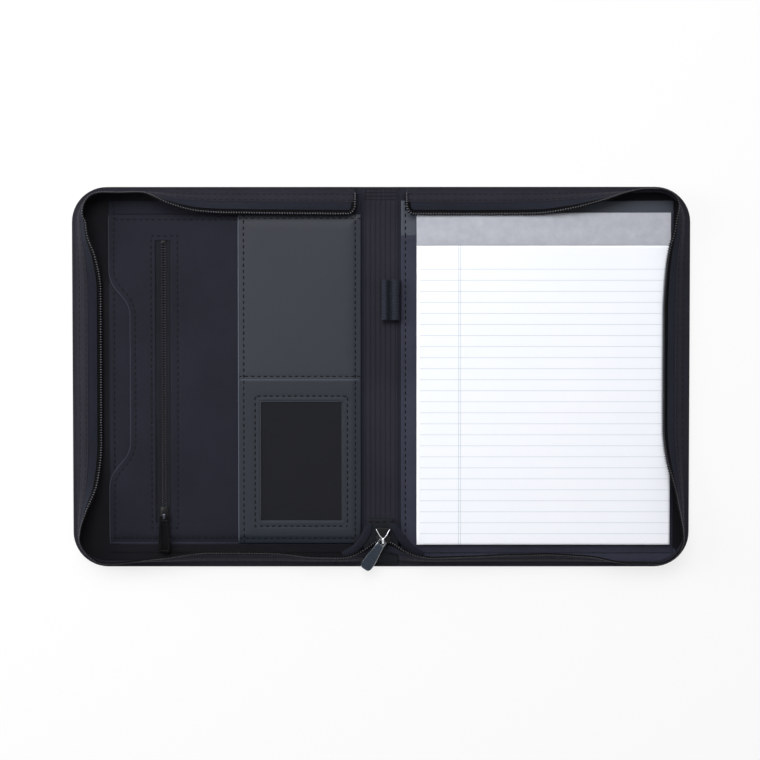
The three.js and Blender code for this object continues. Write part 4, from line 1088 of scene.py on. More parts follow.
def spineCloth():
    half = folder["halfHeight"]
    ends = [(half - inset, z) for inset, z in coverEdge]
    ends += [(-y, z) for y, z in reversed(ends)]
    points = [(x, y, z) for x in np.linspace(-spineClothHalf, spineClothHalf, 15) for y, z in ends]
    made = addMesh("spine_cover_cloth", points, stripFaces(15, len(ends), closed=False), "coverCloth")
    place(thickened(made), "spine", "cover_cloth", ["spine_outer_skin"])


for side, word in hands:
    coverCloth(side, word)
spineCloth()
print("cover cloth made")


linings = {
    "edge": 0.6,             # lining's edge from the cover's edge, under the gusset's foot
    "thickness": 0.35,
    "foldReach": 2.6,        # lining over the fold, each side of it
    "padPocketFoot": -148.0,       # below this the lining shows the pad pocket's turned hem
    "foldStart": 13.6,
    "foldEnd": 1.2,          # fold lining's end from the cover's edge
    "sink": (16.0, 1.3, 0.35),     # middle, width and depth of the fold's crease
}


# The cover's lining in the near-black cloth: a dark binding round its edge, and painted shade where the band
# and the pockets shade it.
def coverLining(side, word):
    inset = linings["edge"]
    reach, half, r = folder["reach"] - inset, folder["halfHeight"] - inset, folder["corner"] - inset
    start = folder["fold"] + linings["foldReach"]
    turns = [(math.sin(a), math.cos(a)) for a in np.linspace(0, math.pi / 2, 14)]
    outline = [(start, -half)] + [(reach - r + r * s, -half + r - r * c) for s, c in turns]
    outline += [(reach - r + r * c, half - r + r * s) for s, c in turns] + [(start, half)]
    outline = [(side * x, y) for x, y in outline]
    if side < 0:
        outline.reverse()

    def height(x, y, outer):
        return folder["lining"] + waves(x, y, 0.08, 1.3 + side)

    made = panel(word + "_lining_cloth", outline, [], height, linings["thickness"], "paintedShadeCloth", 5.0, 10.0,
                 (1.5,))
    # the foot shows the pad pocket's hem in the lighter copy of the lining: painted light
    if side > 0:
        footFinish(made, linings["padPocketFoot"], "padPocketLit")
    place(made, word + "_cover", "lining_cloth", [word + "_lining"])


# The stretch of lining that bends with a fold. It sinks a little between the panels and the spine.
def foldLining(side, word):
    half = folder["halfHeight"] - linings["foldEnd"]
    middle, width, depth = linings["sink"]
    xs = np.linspace(linings["foldStart"], folder["fold"] + linings["foldReach"] + 0.4, 19)
    ys = np.linspace(-half, half, 60)
    points = []
    for level in (folder["lining"] - 0.02, folder["lining"] - 0.02 - linings["thickness"]):
        points += [(side * x, y, level + dip(x, middle, width, depth)) for x in xs for y in ys]
    m, n = len(xs), len(ys)
    top = stripFaces(m, n, closed=False)
    faces = top + [tuple(v + m * n for v in reversed(f)) for f in top]
    for k in (0, n - 1):
        faces += [(a, a + n, a + n + m * n, a + m * n) for a in range(k, (m - 1) * n + k, n)]
    for i in (0, m - 1):
        faces += [(a, a + 1, a + 1 + m * n, a + m * n) for a in range(i * n, i * n + n - 1)]
    place(addMesh(word + "_fold_lining", points, faces, "lining"), word + "_cover", "lining_cloth", (),
          (side * (folder["fold"] - 3.6), side * (folder["fold"] + 3.0)))


for side, word in hands:
    coverLining(side, word)
    foldLining(side, word)
print("linings made")


# A round cord along points, closed at both ends.
def bead(name, points, radius, finish):
    rings = []
    last = len(points) - 1
    for i, p in enumerate(points):
        ahead = (Vector(points[min(i + 1, last)]) - Vector(points[max(i - 1, 0)])).normalized()
        side = ahead.cross(Vector(upward)).normalized()
        end = min(i, last - i)
        r = radius * (1.0 if end > 1 else (0.45, 0.85)[end])
        rings.append([tuple(Vector(p) + (side * math.cos(a) + Vector(upward) * math.sin(a)) * r)
                      for a in [2 * math.pi * k / 10 for k in range(10)]])
    return loft(name, rings, finish)


# A row of points through corners, at a rise over a surface. surface: a height, or a function of x and y.
def rowOn(corners, surface, rise):
    row = openLine(corners, 2.0) + corners[-1:]
    if not callable(surface):
        return [(x, y, surface + rise) for x, y in row]
    return [(x, y, float(surface(np.array([x]), np.array([y]))[0]) + rise) for x, y in row]


# Left pockets

pockets = {
    "left": -232.0, "right": -17.4, "halfHeight": 150.5,
    "top": 138.8, "bottom": -142.0,
    "backTop": 3.8, "frontTop": 6.25, "frontDrop": 1.75,
    "notchTop": 89.6, "notchBottom": -92.7, "notchDepth": 18.0, "notchEase": 38.0,
    "zip": (-192.5, -179.0, -124.7, 116.9),          # left, right, bottom, top
    "zipSeam": (-195.9, -173.4, -129.0, 120.4),
    "bag": (-205.0, -30.0, -134.7, 126.9), "bagTop": 4.08,
    "hemSeam": 4.4, "backSeam": 4.0,
    "stitch": (5.3, 3.0, 1.25, 0.6),
    "hemHighlight": 0.36, "topShadowLine": 0.4,
}


# Height of what is sewn down at the pockets' head, foot and inner side, which fall to the layer below.
def sewnDown(x, y):
    down = np.minimum(np.minimum(pockets["top"] - y, y - pockets["bottom"]), pockets["right"] - x)
    return edgeFall(down, 8.0, pockets["frontDrop"])


def frontHeight(x, y):
    return pockets["frontTop"] + sewnDown(x, y) + waves(x, y, 0.34, 0.7, 0.12)


def bezier(a, b, c, d):
    a, b, c, d = np.array([a, b, c, d])
    return [tuple((1 - k) ** 3 * a + 3 * (1 - k) ** 2 * k * b + 3 * (1 - k) * k * k * c + k ** 3 * d)
            for k in np.linspace(0, 1, 13)[1:]]


# The front's left edge steps in between two eased corners, which leaves a notch for the hand.
def pocketOutline():
    left, right, low, high = pockets["left"], pockets["right"], pockets["bottom"], pockets["top"]
    deep, soft = left + pockets["notchDepth"], left + 2
    above, below, ease = pockets["notchTop"], pockets["notchBottom"], pockets["notchEase"]
    upper, lower = above - ease / 2, below + ease / 2
    outline = [(left, low), (right, low), (right, high), (left, high), (left, above)]
    outline += bezier((left, above), (soft, upper), (deep, upper), (deep, above - ease))
    outline += [(deep, below + ease)]
    outline += bezier((deep, below + ease), (deep, lower), (soft, lower), (left, below))
    return outline


def makePockets():
    body = "left_cover"
    left, right, tall = pockets["left"], pockets["right"], pockets["halfHeight"]
    head, backTop = pockets["top"], pockets["backTop"]

    def backHeight(x, y, outer):
        edge = edgeFall(outer, 1.6, 0.18) + dip(outer, pockets["backSeam"], 0.7, 0.12)
        return backTop - 0.02 + edge + waves(x, y, 0.05, 2.2)

    sheet = rectangle(left, right, -tall, tall)
    back = panel("pocket_back_cloth", sheet, [], backHeight, 0.35, "lining", grid=9.0)
    # Below the pocket the back takes the near-black cloth: painted shade under the pocket's foot.
    footFinish(back, pockets["bottom"], "paintedShadeCloth")
    place(back, body, "lining_cloth", ["document_pocket_back"])

    outline = pocketOutline()
    window = rectangle(*pockets["zip"])

    def height(x, y, outer):
        seamLeft, seamRight, seamLow, seamHigh = pockets["zipSeam"]
        seamX = np.maximum(seamLeft - x, x - seamRight)
        around = np.abs(np.maximum(seamX, np.maximum(y - seamHigh, seamLow - y)))
        lip = 0.16 * np.exp(-(edgeDistance(np.stack([x, y], 1), window) / 2.2) ** 2)
        hem = dip(outer, pockets["hemSeam"], 0.8, 0.28) + edgeFall(outer, 0.9, 0.12)
        return frontHeight(x, y) + hem + lip + dip(around, 0.0, 0.8, 0.22)

    front = panel("document_pocket_cloth", outline, [window], height, 0.45, "lining", 2.6, 6.0)
    place(front, body, "lining_cloth", ["document_pocket_panel"])

    hem = movedIn(polyline(outline, 3.0), pockets["hemSeam"])
    seam = rectangle(*pockets["zipSeam"])
    backSeam, backEnd = left + pockets["backSeam"], tall - pockets["backSeam"]
    rows = [rowOn(hem + hem[:1], frontHeight, -0.2), rowOn(seam + seam[:1], frontHeight, -0.16),
            rowOn([(backSeam, -backEnd), (backSeam, backEnd)], backTop, -0.1)]
    place(stitchRow("pocket_stitches", rows, pockets["stitch"]), body, "lining_cloth")
    # A lighter bead along the pocket's hemmed edges is a painted highlight on the turned edge.
    edge = outline[3:] + [(left, pockets["bottom"]), (right - 0.6, pockets["bottom"])]
    # A near-black bead along the pocket's head is a painted shadow line under its top edge.
    brim = [(left + 0.6, head + 0.3), (right - 0.6, head + 0.3)]
    for name, line, radius, finish in (("pocket_hem_roll", edge, pockets["hemHighlight"], "hem"),
                                       ("pocket_top_piping", brim, pockets["topShadowLine"], "paintedShadeCloth")):
        place(bead(name, rowOn(line, frontHeight, -0.26), radius, finish), body, "lining_cloth")

    def bagHeight(x, y, outer):
        return pockets["bagTop"] + waves(x, y, 0.04, 0.4)

    sheet = rectangle(*pockets["bag"])
    bag = panel("zip_bag_cloth", sheet, [], bagHeight, 0.22, "lining", 8.0, 14.0, (2.0,))
    place(bag, body, "lining_cloth", ["zip_pocket_bag"])


makePockets()
print("left pockets made")


innerZip = {
    "centre": -185.2, "chainGap": 1.5, "reach": 4.5,     # each tape from the middle to under the pocket
    "tapeTop": 5.72, "tapeThickness": 0.36,
    "from": -115.7, "to": 113.9,
    "teethAway": 0.95, "teethHeight": 5.52, "tooth": (2.15, 1.0, 2.5, 1.0),
    "threadAway": 1.5, "threadHeight": 6.06, "thread": (2.15, 1.5, 0.75, 0.4),
    # share of the tape's width, and rise: two woven ridges run along it
    "section": ((0.0, -0.05), (0.05, 0.0), (0.24, 0.0), (0.28, 0.09), (0.33, 0.09), (0.37, 0.0),
                (0.55, -0.02), (0.6, 0.06), (0.64, 0.06), (0.68, -0.02), (0.97, 0.0), (1.0, -0.06)),
}


def makeInnerZip(hand, word):
    body = "left_cover"
    centre, top, section = innerZip["centre"], innerZip["tapeTop"], innerZip["section"]
    left, right, low, high = pockets["zip"]
    inner = centre + hand * innerZip["chainGap"]
    wide = (left - innerZip["reach"] if hand < 0 else right + innerZip["reach"]) - inner
    rings = []
    for y in map(float, np.linspace(low - 1.9, high + 1.9, 80)):
        level = top + 0.05 * math.sin(y / 11.0 + hand)
        upper = [(inner + wide * t, y, level + lift) for t, lift in section]
        under = [(inner + wide * t, y, level - innerZip["tapeThickness"]) for t, _ in section[::-1]]
        rings.append(upper + under)
    tape = loft("inner_tape_cloth_" + word, rings, "innerTape")
    place(tape, body, "tape_cloth", ["inner_zip_tape_" + word])

    x, z = centre + hand * innerZip["teethAway"], innerZip["teethHeight"]
    shift = innerZip["tooth"][0] / 2 if hand > 0 else 0.0
    line = [((x, innerZip["from"] + shift, z), upward), ((x, innerZip["to"], z), upward)]
    teeth = repeatAlong("inner_teeth_" + word, [line], "innerCoil", toothShape, innerZip["tooth"])
    place(teeth, body, "coil_plastic", ["inner_zip_coil_" + word])
    x, z = centre + hand * innerZip["threadAway"], innerZip["threadHeight"]
    line = [((x, innerZip["from"] + 1.0, z), upward), ((x, innerZip["to"], z), upward)]
    thread = repeatAlong("inner_teeth_thread_" + word, [line], "innerThread", stitchShape,
                         innerZip["thread"])
    place(thread, body, "tape_cloth")


for side, word in hands:
    makeInnerZip(side, word)
print("inner zip made")


leather = {
    "left": -121.6, "right": -17.4, "split": -2.4, "top": 7.2, "thickness": 0.55,
    "sideSeam": 4.6, "footSeam": 4.4, "headSeam": 3.5, "dividerSeam": 3.2,
    "window": (-103.0, -33.0, -122.9, -20.4), "windowSeam": 4.4,
    "netTop": 6.6, "netSag": 0.12, "netTuck": 6.0,
    "stitch": (5.16, 3.1, 1.35, 0.6),
    "dividerStitch": (5.3, 3.2, 1.1, 0.6),
    "edge": 0.5, "windowEdge": 0.4,
}


def leatherHeight(x, y):
    return (leather["top"] + sewnDown(x, y) + edgeFall(x - leather["left"], 6.0, 0.34)
            + waves(x, y, 0.07, 1.1, 0.05))


def makeLeather():
    body, slot = "left_cover", "slate_leather"
    left, right, split = leather["left"], leather["right"], leather["split"]
    head, foot = pockets["top"], pockets["bottom"]
    window = rectangle(*leather["window"])

    def sewn(x, y, outer):
        sides = np.minimum(np.abs(x - left - leather["sideSeam"]), np.abs(right - leather["sideSeam"] - x))
        return leatherHeight(x, y) + dip(sides, 0.0, 0.9, 0.2) + edgeFall(outer, 0.7, 0.16)

    def cardHeight(x, y, outer):
        return sewn(x, y, outer) + dip(y - split - leather["dividerSeam"], 0.0, 0.9, 0.22)

    def frameHeight(x, y, outer):
        hole = edgeDistance(np.stack([x, y], 1), window)
        rim = dip(hole, leather["windowSeam"], 0.8, 0.24) + edgeFall(hole, 1.0, 0.2)
        return sewn(x, y, outer) + dip(y - foot - leather["footSeam"], 0.0, 0.9, 0.2) + rim + 0.04

    def netHeight(x, y, outer):
        return leather["netTop"] - leather["netSag"] * np.clip(outer / 14.0, 0, 1) + waves(x, y, 0.03, 2.9)

    thick = leather["thickness"]
    sheet = rectangle(left, right, split + 0.1, head)
    card = panel("card_pocket_leather", sheet, [], cardHeight, thick, "leather", grid=8.0)
    place(card, body, slot, ["card_pocket"])
    sheet = rectangle(left, right, foot, split - 0.1)
    rim = panel("window_frame_leather", sheet, [window], frameHeight, thick, "frameLeatherShaded", grid=8.0)
    place(rim, body, slot, ["id_window_frame"])
    sheet = movedIn(window, -leather["netTuck"])
    net = panel("window_net_cloth", sheet, [], netHeight, 0.18, "net", 5.0, 8.0, (2.0, 5.0))
    place(net, body, "window_net", ["id_window_mesh"])

    def across(y, end=1.5):
        return [(left + end, y), (right - end, y)]

    hole = polyline(window, 4.0)
    around = movedIn(hole, leather["windowSeam"], hole=True)
    columns = (left + leather["sideSeam"], right - leather["sideSeam"])
    lines = [[(x, head - 1.5), (x, foot + 1.5)] for x in columns]
    lines += [across(head - leather["headSeam"]), across(foot + leather["footSeam"]), around + around[:1]]
    rows = [rowOn(line, leatherHeight, -0.13) for line in lines]
    place(stitchRow("leather_stitches", rows, leather["stitch"]), body, slot)
    divider = rowOn(across(split + leather["dividerSeam"]), leatherHeight, -0.13)
    place(stitchRow("divider_stitches", [divider], leather["dividerStitch"]), body, slot)
    brim = movedIn(hole, 0.2)
    edge = [(left + 0.1, head - 0.4), (left + 0.1, foot + 0.4)]
    for name, line, rise, radius, finish in (
            # Lighter leather beads along the left edge and the divider are a painted highlight on those
            # edges.
            ("leather_edge_left", edge, -0.26, leather["edge"], "leatherEdgeHighlight"),
            ("leather_edge_divider", across(split + 0.15, 0.4), -0.18, leather["edge"], "leatherEdgeHighlight"),
            ("window_edge_leather", brim + brim[:1], -0.24, leather["windowEdge"], "frameEdge")):
        place(bead(name, rowOn(line, leatherHeight, rise), radius, finish), body, slot)


makeLeather()
print("leather panels made")


# Right cover's band, pocket and pad

rightPanels = {
    "left": 17.4, "right": 249.7, "bandBottom": 113.0, "halfHeight": 150.5,
    "pocketTop": 120.8, "hem": 4.8, "seam": 20.9,
    "bandTop": 3.86, "pocketBase": 4.0, "pocketRise": 1.35, "hemLift": 0.28,
    "padLeft": 30.4, "padRight": 246.3, "padTop": 140.0, "padBottom": -143.0,
}


# The pad's pocket lies low at its sewn edges and climbs over the pad's board.
def padPocketHeight(x, y):
    rise = np.minimum(np.minimum((x - rightPanels["left"]) / 12.0, (rightPanels["right"] - x) / 3.3),
                      (y + rightPanels["halfHeight"]) / 7.0)
    return rightPanels["pocketBase"] + rightPanels["pocketRise"] * eased(rise)


def makeRightPanels():
    body = "right_cover"
    left, right, tall = rightPanels["left"], rightPanels["right"], rightPanels["halfHeight"]
    seamX, head, lift = rightPanels["seam"], rightPanels["pocketTop"], rightPanels["hemLift"]
    hem = head - rightPanels["hem"]

    def bandHeight(x, y, outer):
        return rightPanels["bandTop"] + dip(x - seamX, 0.0, 0.8, 0.14) + edgeFall(outer, 0.8, 0.14)

    sheet = rectangle(left, right, rightPanels["bandBottom"], tall)
    strip = panel("pad_band_leather", sheet, [], bandHeight, 0.5, "bandLeatherLit", grid=9.0,
                  rows=(0.8, 2.0, 2.9, 3.5, 4.1, 6.0))
    place(strip, body, "slate_leather", ["pad_band"])

    def pocketHeight(x, y, outer):
        return (padPocketHeight(x, y) + lift * eased((y - hem) / 0.9) + dip(x - seamX, 0.0, 0.8, 0.16)
                + edgeFall(outer, 0.8, 0.14) + waves(x, y, 0.04, 1.9))

    def seamHeight(x, y):
        return padPocketHeight(x, y) + lift * (y > hem)

    sheet = rectangle(left, right, -tall, head)
    pocket = panel("pad_pocket_cloth", sheet, [], pocketHeight, 0.4, "padPocketLit", grid=9.0,
                   rows=(0.8, 2.0, 2.9, 3.5, 4.1, 5.0, 6.5, 9.0, 12.0))
    place(pocket, body, "lining_cloth", ["pad_pocket_panel"])
    rows = [rowOn([(seamX, head + 1.0), (seamX, tall - 1.5)], rightPanels["bandTop"], -0.08),
            rowOn([(seamX, -tall + 3.0), (seamX, head - 0.5)], seamHeight, -0.08)]
    place(stitchRow("right_panel_stitches", rows, pockets["stitch"]), body, "lining_cloth")


makeRightPanels()
print("right panels made")


pad = {
    "headerDepth": 27.8, "sheetsTop": 8.3, "sheetTop": 8.56, "headerTop": 8.9, "boardBase": 4.0,
    "nextLift": 0.13, "curl": (30.0, 40.0, 0.1),     # the top sheet's free corner: across, down and up
}


def makePad():
    left, right = rightPanels["padLeft"], rightPanels["padRight"]
    low, high = rightPanels["padBottom"], rightPanels["padTop"]
    front = high - pad["headerDepth"]
    across, down, rise = pad["curl"]

    def topHeight(x, y, outer):
        curl = rise * np.clip((x - (right - across)) / across, 0, 1) * np.clip((low + down - y) / down, 0, 1)
        return pad["sheetTop"] - 0.05 + curl + waves(x, y, 0.05, 0.9, 0.05)

    def nextHeight(x, y, outer):
        return np.full(len(x), pad["sheetsTop"] + pad["nextLift"] - 0.1)

    sheet = rectangle(left, right, low, front - 0.2)
    top = panel("top_sheet_paper", sheet, [], topHeight, 0.1, "ruled", 6.0, 9.0, (2.0,), 0.02)
    place(top, "pad_top_sheet", "paper", ["top_sheet"])
    sheet = rectangle(left + 0.2, right - 0.2, low + 0.2, front + 4)
    under = panel("next_sheet_paper", sheet, [], nextHeight, 0.1, "ruled", 8.0, 14.0, (2.0,), 0.02)
    place(under, "pad", "paper")

    head, base = pad["headerTop"], pad["boardBase"]
    section = [(front, 8.42), (front - 0.05, 8.66), (front + 0.15, head - 0.08), (front + 0.8, head - 0.02),
               (front + 9, head), (high - 6, head), (high - 1.2, head - 0.04), (high - 0.35, head - 0.25),
               (high - 0.02, head - 0.8), (high, 6.6), (high, base + 0.25), (high - 0.08, base),
               (high - 0.38, base), (high - 0.38, 8.3), (high - 1.0, 8.42)]
    rings = []
    for x in np.linspace(left, right, 60):
        wave = 0.03 * math.sin(float(x) / 13.0)
        rings.append([(float(x), y, z + (wave if z > 8.7 else 0.0)) for y, z in section])
    binding = loft("pad_binding_strip", rings, "binding")
    sharpen(binding, 50)
    place(binding, "pad", "pad_binding", ["pad_header"])


makePad()
print("pad made")


# Spine

spine = {
    "half": 14.28, "top": 3.3, "ribPitch": 4.3, "ribDepth": 0.5, "ribLift": 0.27,
    "seams": (160.4, 157.4, 154.4, 151.4), "stitch": (3.1, 2.7, 0.7, 0.4),
    "halfHeight": 161.5, "thickness": 0.39,
    "clothHalf": 14.7,
}
penLoop = {
    "left": 0.5, "right": 15.8, "low": 48.6, "high": 83.1, "base": 3.42, "top": 12.8, "middle": 8.0,
    "crease": 7.6, "creaseDepth": 5.6, "wall": 1.0, "rib": 1.3, "ribDepth": 0.2, "corner": 1.6,
}
apron = {
    "top": 9.455, "level": 17.0, "end": 30.0, "thickness": 0.6,
    "crestMost": 10.155, "crestWidth": 3.0,
    "tabHalf": 10.3, "tabFrom": -127.7, "tabTo": -120.6,
}


def ribHeight(x):
    phase = (x / spine["ribPitch"]) % 1.0 - 0.5
    return spine["ribLift"] - spine["ribDepth"] * (1.0 - math.sqrt(max(0.0, 1.0 - (2 * phase) ** 2)))


# Ribs run down the spine and end below the sewn head.
def makeSpineLining():
    columns = [float(x) for x in np.linspace(-spine["half"], spine["half"], 118)]
    high, top = spine["halfHeight"], spine["top"]
    levels = [-high, -high + 0.25, *np.arange(-160.0, 146.0, 3.0), *np.arange(146.5, high - 0.3, 0.4)]
    levels += [high - 0.25, high]
    rings = []
    for y in map(float, levels):
        ribs = max(0.0, min(1.0, (150.6 - y) / 3.0))
        sewn = sum(0.22 * math.exp(-((y - seam) / 0.55) ** 2) for seam in spine["seams"])
        ring = []
        for x in columns:
            edge = min(spine["half"] - abs(x), high - abs(y))
            wave = 0.05 * math.sin(y / 13.0 + x / 9.0) - 0.05
            ring.append((x, y, top + ribs * ribHeight(x) - sewn + wave - 0.14 * max(0.0, 1 - edge / 0.5)))
        rings.append(ring + [(x, y, top - spine["thickness"]) for x in reversed(columns)])
    place(loft("spine_lining_cloth", rings, "spineRib"), "spine", "lining_cloth", ["spine_lining"])
    across = spine["half"] - 1.2
    rows = [rowOn([(-across, y), (across, y)], top, -0.2) for y in spine["seams"]]
    place(stitchRow("spine_stitches", rows, spine["stitch"]), "spine", "lining_cloth")


# Closed wall with open ends: outer and inner loops of equally many points, ring by ring.
def sleeve(name, outers, inners, finish):
    count = len(outers[0])
    points = []
    uvs = []
    for outer, inner in zip(outers, inners):
        for loop in (outer, inner):
            points += loop
            uvs += [(p[1], around) for p, around in zip(loop, travelled(loop))]
    faces = []
    last = len(outers) - 1
    for k in range(count):
        n = (k + 1) % count
        for a in range(0, 2 * last * count, 2 * count):
            b = a + 2 * count
            faces.append((a + k, a + n, b + n, b + k))
            faces.append((a + count + n, a + count + k, b + count + k, b + count + n))
        for a in (0, 2 * last * count):
            faces.append((a + k, a + n, a + count + n, a + count + k))
    return addMesh(name, points, faces, finish, uvs)


# A smooth curve through points, count steps between each two.
def smoothLine(points, count, closed=False):
    made = []
    total = len(points)
    for i in range(total if closed else total - 1):
        near = [(i + k) % total if closed else min(max(i + k, 0), total - 1) for k in (-1, 0, 1, 2)]
        a, b, c, d = [np.array(points[k]) for k in near]
        for step in range(count):
            t = step / count
            made.append(0.5 * ((2 * b) + (c - a) * t + (2 * a - 5 * b + 4 * c - d) * t ** 2
                               + (3 * b - a - 3 * c + d) * t ** 3))
    return made if closed else made + [np.array(points[-1])]


# Section of the pen loop: a flat base, upright sides and a top pushed in by a crease.
def loopLine(inset):
    left, right = penLoop["left"] + inset, penLoop["right"] - inset
    low, high = penLoop["base"] + inset, penLoop["top"] - inset
    crease, corner, middle = penLoop["crease"], penLoop["corner"], (low + high) / 2
    path = [(left + 0.1, low + corner), (left, middle), (left + 0.35, high - 2.6), (left + 1.2, high - 0.9),
            (left + 2.9, high - 0.1), (crease - 2.9, high - 0.7), (crease - 1.5, high - 2.9),
            (crease, high - penLoop["creaseDepth"] + inset * 0.3), (crease + 1.5, high - 2.9),
            (crease + 2.9, high - 0.6), (right - 3.0, high), (right - 1.2, high - 0.8),
            (right - 0.3, high - 2.6), (right, middle), (right - 0.1, low + corner),
            (right - 0.9, low + 0.35), (right - 2.6, low), (crease, low), (left + 2.6, low),
            (left + 0.9, low + 0.35)]
    return [Vector(p) for p in smoothLine(path, 4, closed=True)]


def makePenLoop():
    outerLine, innerLine = loopLine(0.0), loopLine(penLoop["wall"])
    centre = Vector(((penLoop["left"] + penLoop["right"]) / 2, penLoop["middle"]))
    outers = []
    inners = []
    for y in map(float, np.linspace(penLoop["low"], penLoop["high"], 107)):
        rib = penLoop["ribDepth"] * (math.cos(math.pi * y / penLoop["rib"]) - 1)
        edge = min(y - penLoop["low"], penLoop["high"] - y)
        fall = 0.3 * max(0.0, 1 - edge / 0.6) ** 2
        flare = 0.15 * max(0.0, 1 - edge / 7.0)
        moved = [p + (p - centre).normalized() * (rib + flare - fall) for p in outerLine]
        outers.append([(p.x, y, max(p.y, penLoop["base"])) for p in moved])
        inners.append([(p.x, y, p.y) for p in innerLine])
    place(sleeve("pen_loop_elastic", outers, inners, "elastic"), "spine", "elastic", ["pen_loop"])


# Line of the gusset cloth at one place across the spine, as (in from the edge, height over the lining).
def spineGussetLine(x):
    side = -1 if x < 0 else 1
    lean = leanAt(side, min(runAtBottom(side, abs(x)), 5))
    crestIn, crestUp, _ = bandCurve(lean, band["gusset"])
    crestUp = min(crestUp - 0.9, apron["crestMost"] - folder["lining"])
    flat = apron["top"] - folder["lining"] - apron["thickness"] / 2
    level = max(crestIn + apron["crestWidth"] + 5, apron["level"])
    line = [(-3.0, 0.35), (-0.8, 0.5), (0.0, 1.4), bandCurve(lean, band["gusset"] / 2)[:2],
            (crestIn - 0.6, crestUp - 1.3), (crestIn + 0.8, crestUp - 0.5), (crestIn + 3.2, crestUp - 0.9),
            (level, flat)]
    return smoothLine(line + [(a, flat) for a in np.linspace(level + 2.5, apron["end"], 5)], 4)


# Gusset cloth across the foot of the spine: up from the bottom edge, over a crest, level under the slider.
def makeSpineGusset():
    rings = []
    for x in map(float, np.linspace(-spine["clothHalf"], spine["clothHalf"], 40)):
        curve = spineGussetLine(x)
        top = []
        under = []
        for i, p in enumerate(curve):
            ahead = curve[min(i + 1, len(curve) - 1)] - curve[max(i - 1, 0)]
            ahead = ahead / max(float(np.hypot(*ahead)), 1e-6)
            out = np.array([-ahead[1], ahead[0]])
            wave = 0.1 * math.sin(x / 5.0 + p[0] / 4.0) * min(1.0, max(0.0, p[0] - 2) / 6)
            thick = 0.45 if p[0] < 4 else 0.3
            for line, shift, least in ((top, thick + wave, 0.4), (under, wave - thick, 0.0)):
                inward, up = p + out * shift
                line.append((x, -edgeY + float(inward), folder["lining"] + max(float(up), least)))
        rings.append(top + under[::-1])
    place(loft("spine_gusset_cloth", rings, "apron"), "spine", "gusset_cloth", ["spine_bottom_gusset"])


# Folded end of the zip cloth behind the slider, bound at its back edge.
def makeEndTab():
    start, end, top = apron["tabFrom"], apron["tabTo"], apron["top"]
    outer = [(start, top - 0.02), (start + 1.4, top + 0.02), (start + 3.4, top - 0.02),
             (end - 1.5, top - 0.15), (end - 0.55, top - 0.6), (end - 0.1, top - 1.7), (end, top - 3.2),
             (end, 5.2), (end, 3.42)]
    inner = [(end - 2.1, 3.42), (end - 2.1, 5.2), (end - 2.1, top - 2.2), (end - 2.5, top - 1.1),
             (end - 3.3, top - 0.65), (start + 1.4, top - 0.6), (start, top - 0.6)]
    rings = []
    for x in map(float, np.linspace(-apron["tabHalf"], apron["tabHalf"], 48)):
        tuck = 0.35 * max(0.0, 1 - (apron["tabHalf"] - abs(x)) / 0.8) ** 2
        wave = 0.12 * math.sin(x / 3.1)
        ring = []
        for y, z in smoothLine(outer, 3):
            rise = wave * min(1.0, max(0.0, (z - 6) / 3))
            ring.append((x, float(y) - tuck * 0.5, float(z) - tuck + rise if z > 4 else float(z)))
        rings.append(ring + [(x, float(y), float(z)) for y, z in smoothLine(inner, 2)])
    place(loft("zip_end_tab_cloth", rings, "apron"), "spine", "tape_cloth", ["zip_end_tab"])
    half = apron["tabHalf"] - 1.4
    rows = [[(x, end - 2.6, top + 0.03) for x in np.linspace(-half, half, 9)]]
    place(stitchRow("zip_end_tab_stitches", rows, pockets["stitch"]), "spine", "tape_cloth")


# Strips of tape that fan out from the end tab to the band, one each side of the slider.
fans = {
    "left": [(-8.6, -124.8, 9.3), (-10.6, -129.0, 9.95), (-13.4, -135.0, 9.95), (-17.6, -141.6, 9.6),
             (-24.0, -147.6, 8.9), (-33.0, -151.6, 7.8)],
    "right": [(8.8, -124.0, 9.3), (11.6, -128.6, 9.95), (15.6, -134.8, 9.95), (20.6, -141.4, 9.6),
              (27.0, -147.4, 8.9), (36.0, -151.8, 7.8)],
    "width": (2.0, 6.6, 7.2, 7.2, 6.6, 4.6),
    "thickness": 0.5,
}


def makeFan(side, word):
    line = smoothLine(fans[word], 5)
    widths = smoothLine(fans["width"], 5)
    rings = []
    for i, p in enumerate(line):
        ahead = Vector(line[min(i + 1, len(line) - 1)][:2]) - Vector(line[max(i - 1, 0)][:2])
        across = Vector((-ahead.y, ahead.x)).normalized() * float(widths[i]) / 2
        top = []
        for t in np.linspace(-1, 1, 9):
            crown = 0.5 * (1 - t * t) - 0.25 * max(0.0, abs(t) - 0.75)
            top.append((p[0] + across.x * t, p[1] + across.y * t, p[2] + crown))
        rings.append(top + [(x, y, z - fans["thickness"]) for x, y, z in reversed(top)])
    place(loft(word + "_tape_fan", rings, "tape"), word + "_cover", "tape_cloth", (), bendZone(side))


makeSpineLining()
makePenLoop()
makeSpineGusset()
makeEndTab()
for side, word in hands:
    makeFan(side, word)
print("spine made")


# Zip fittings

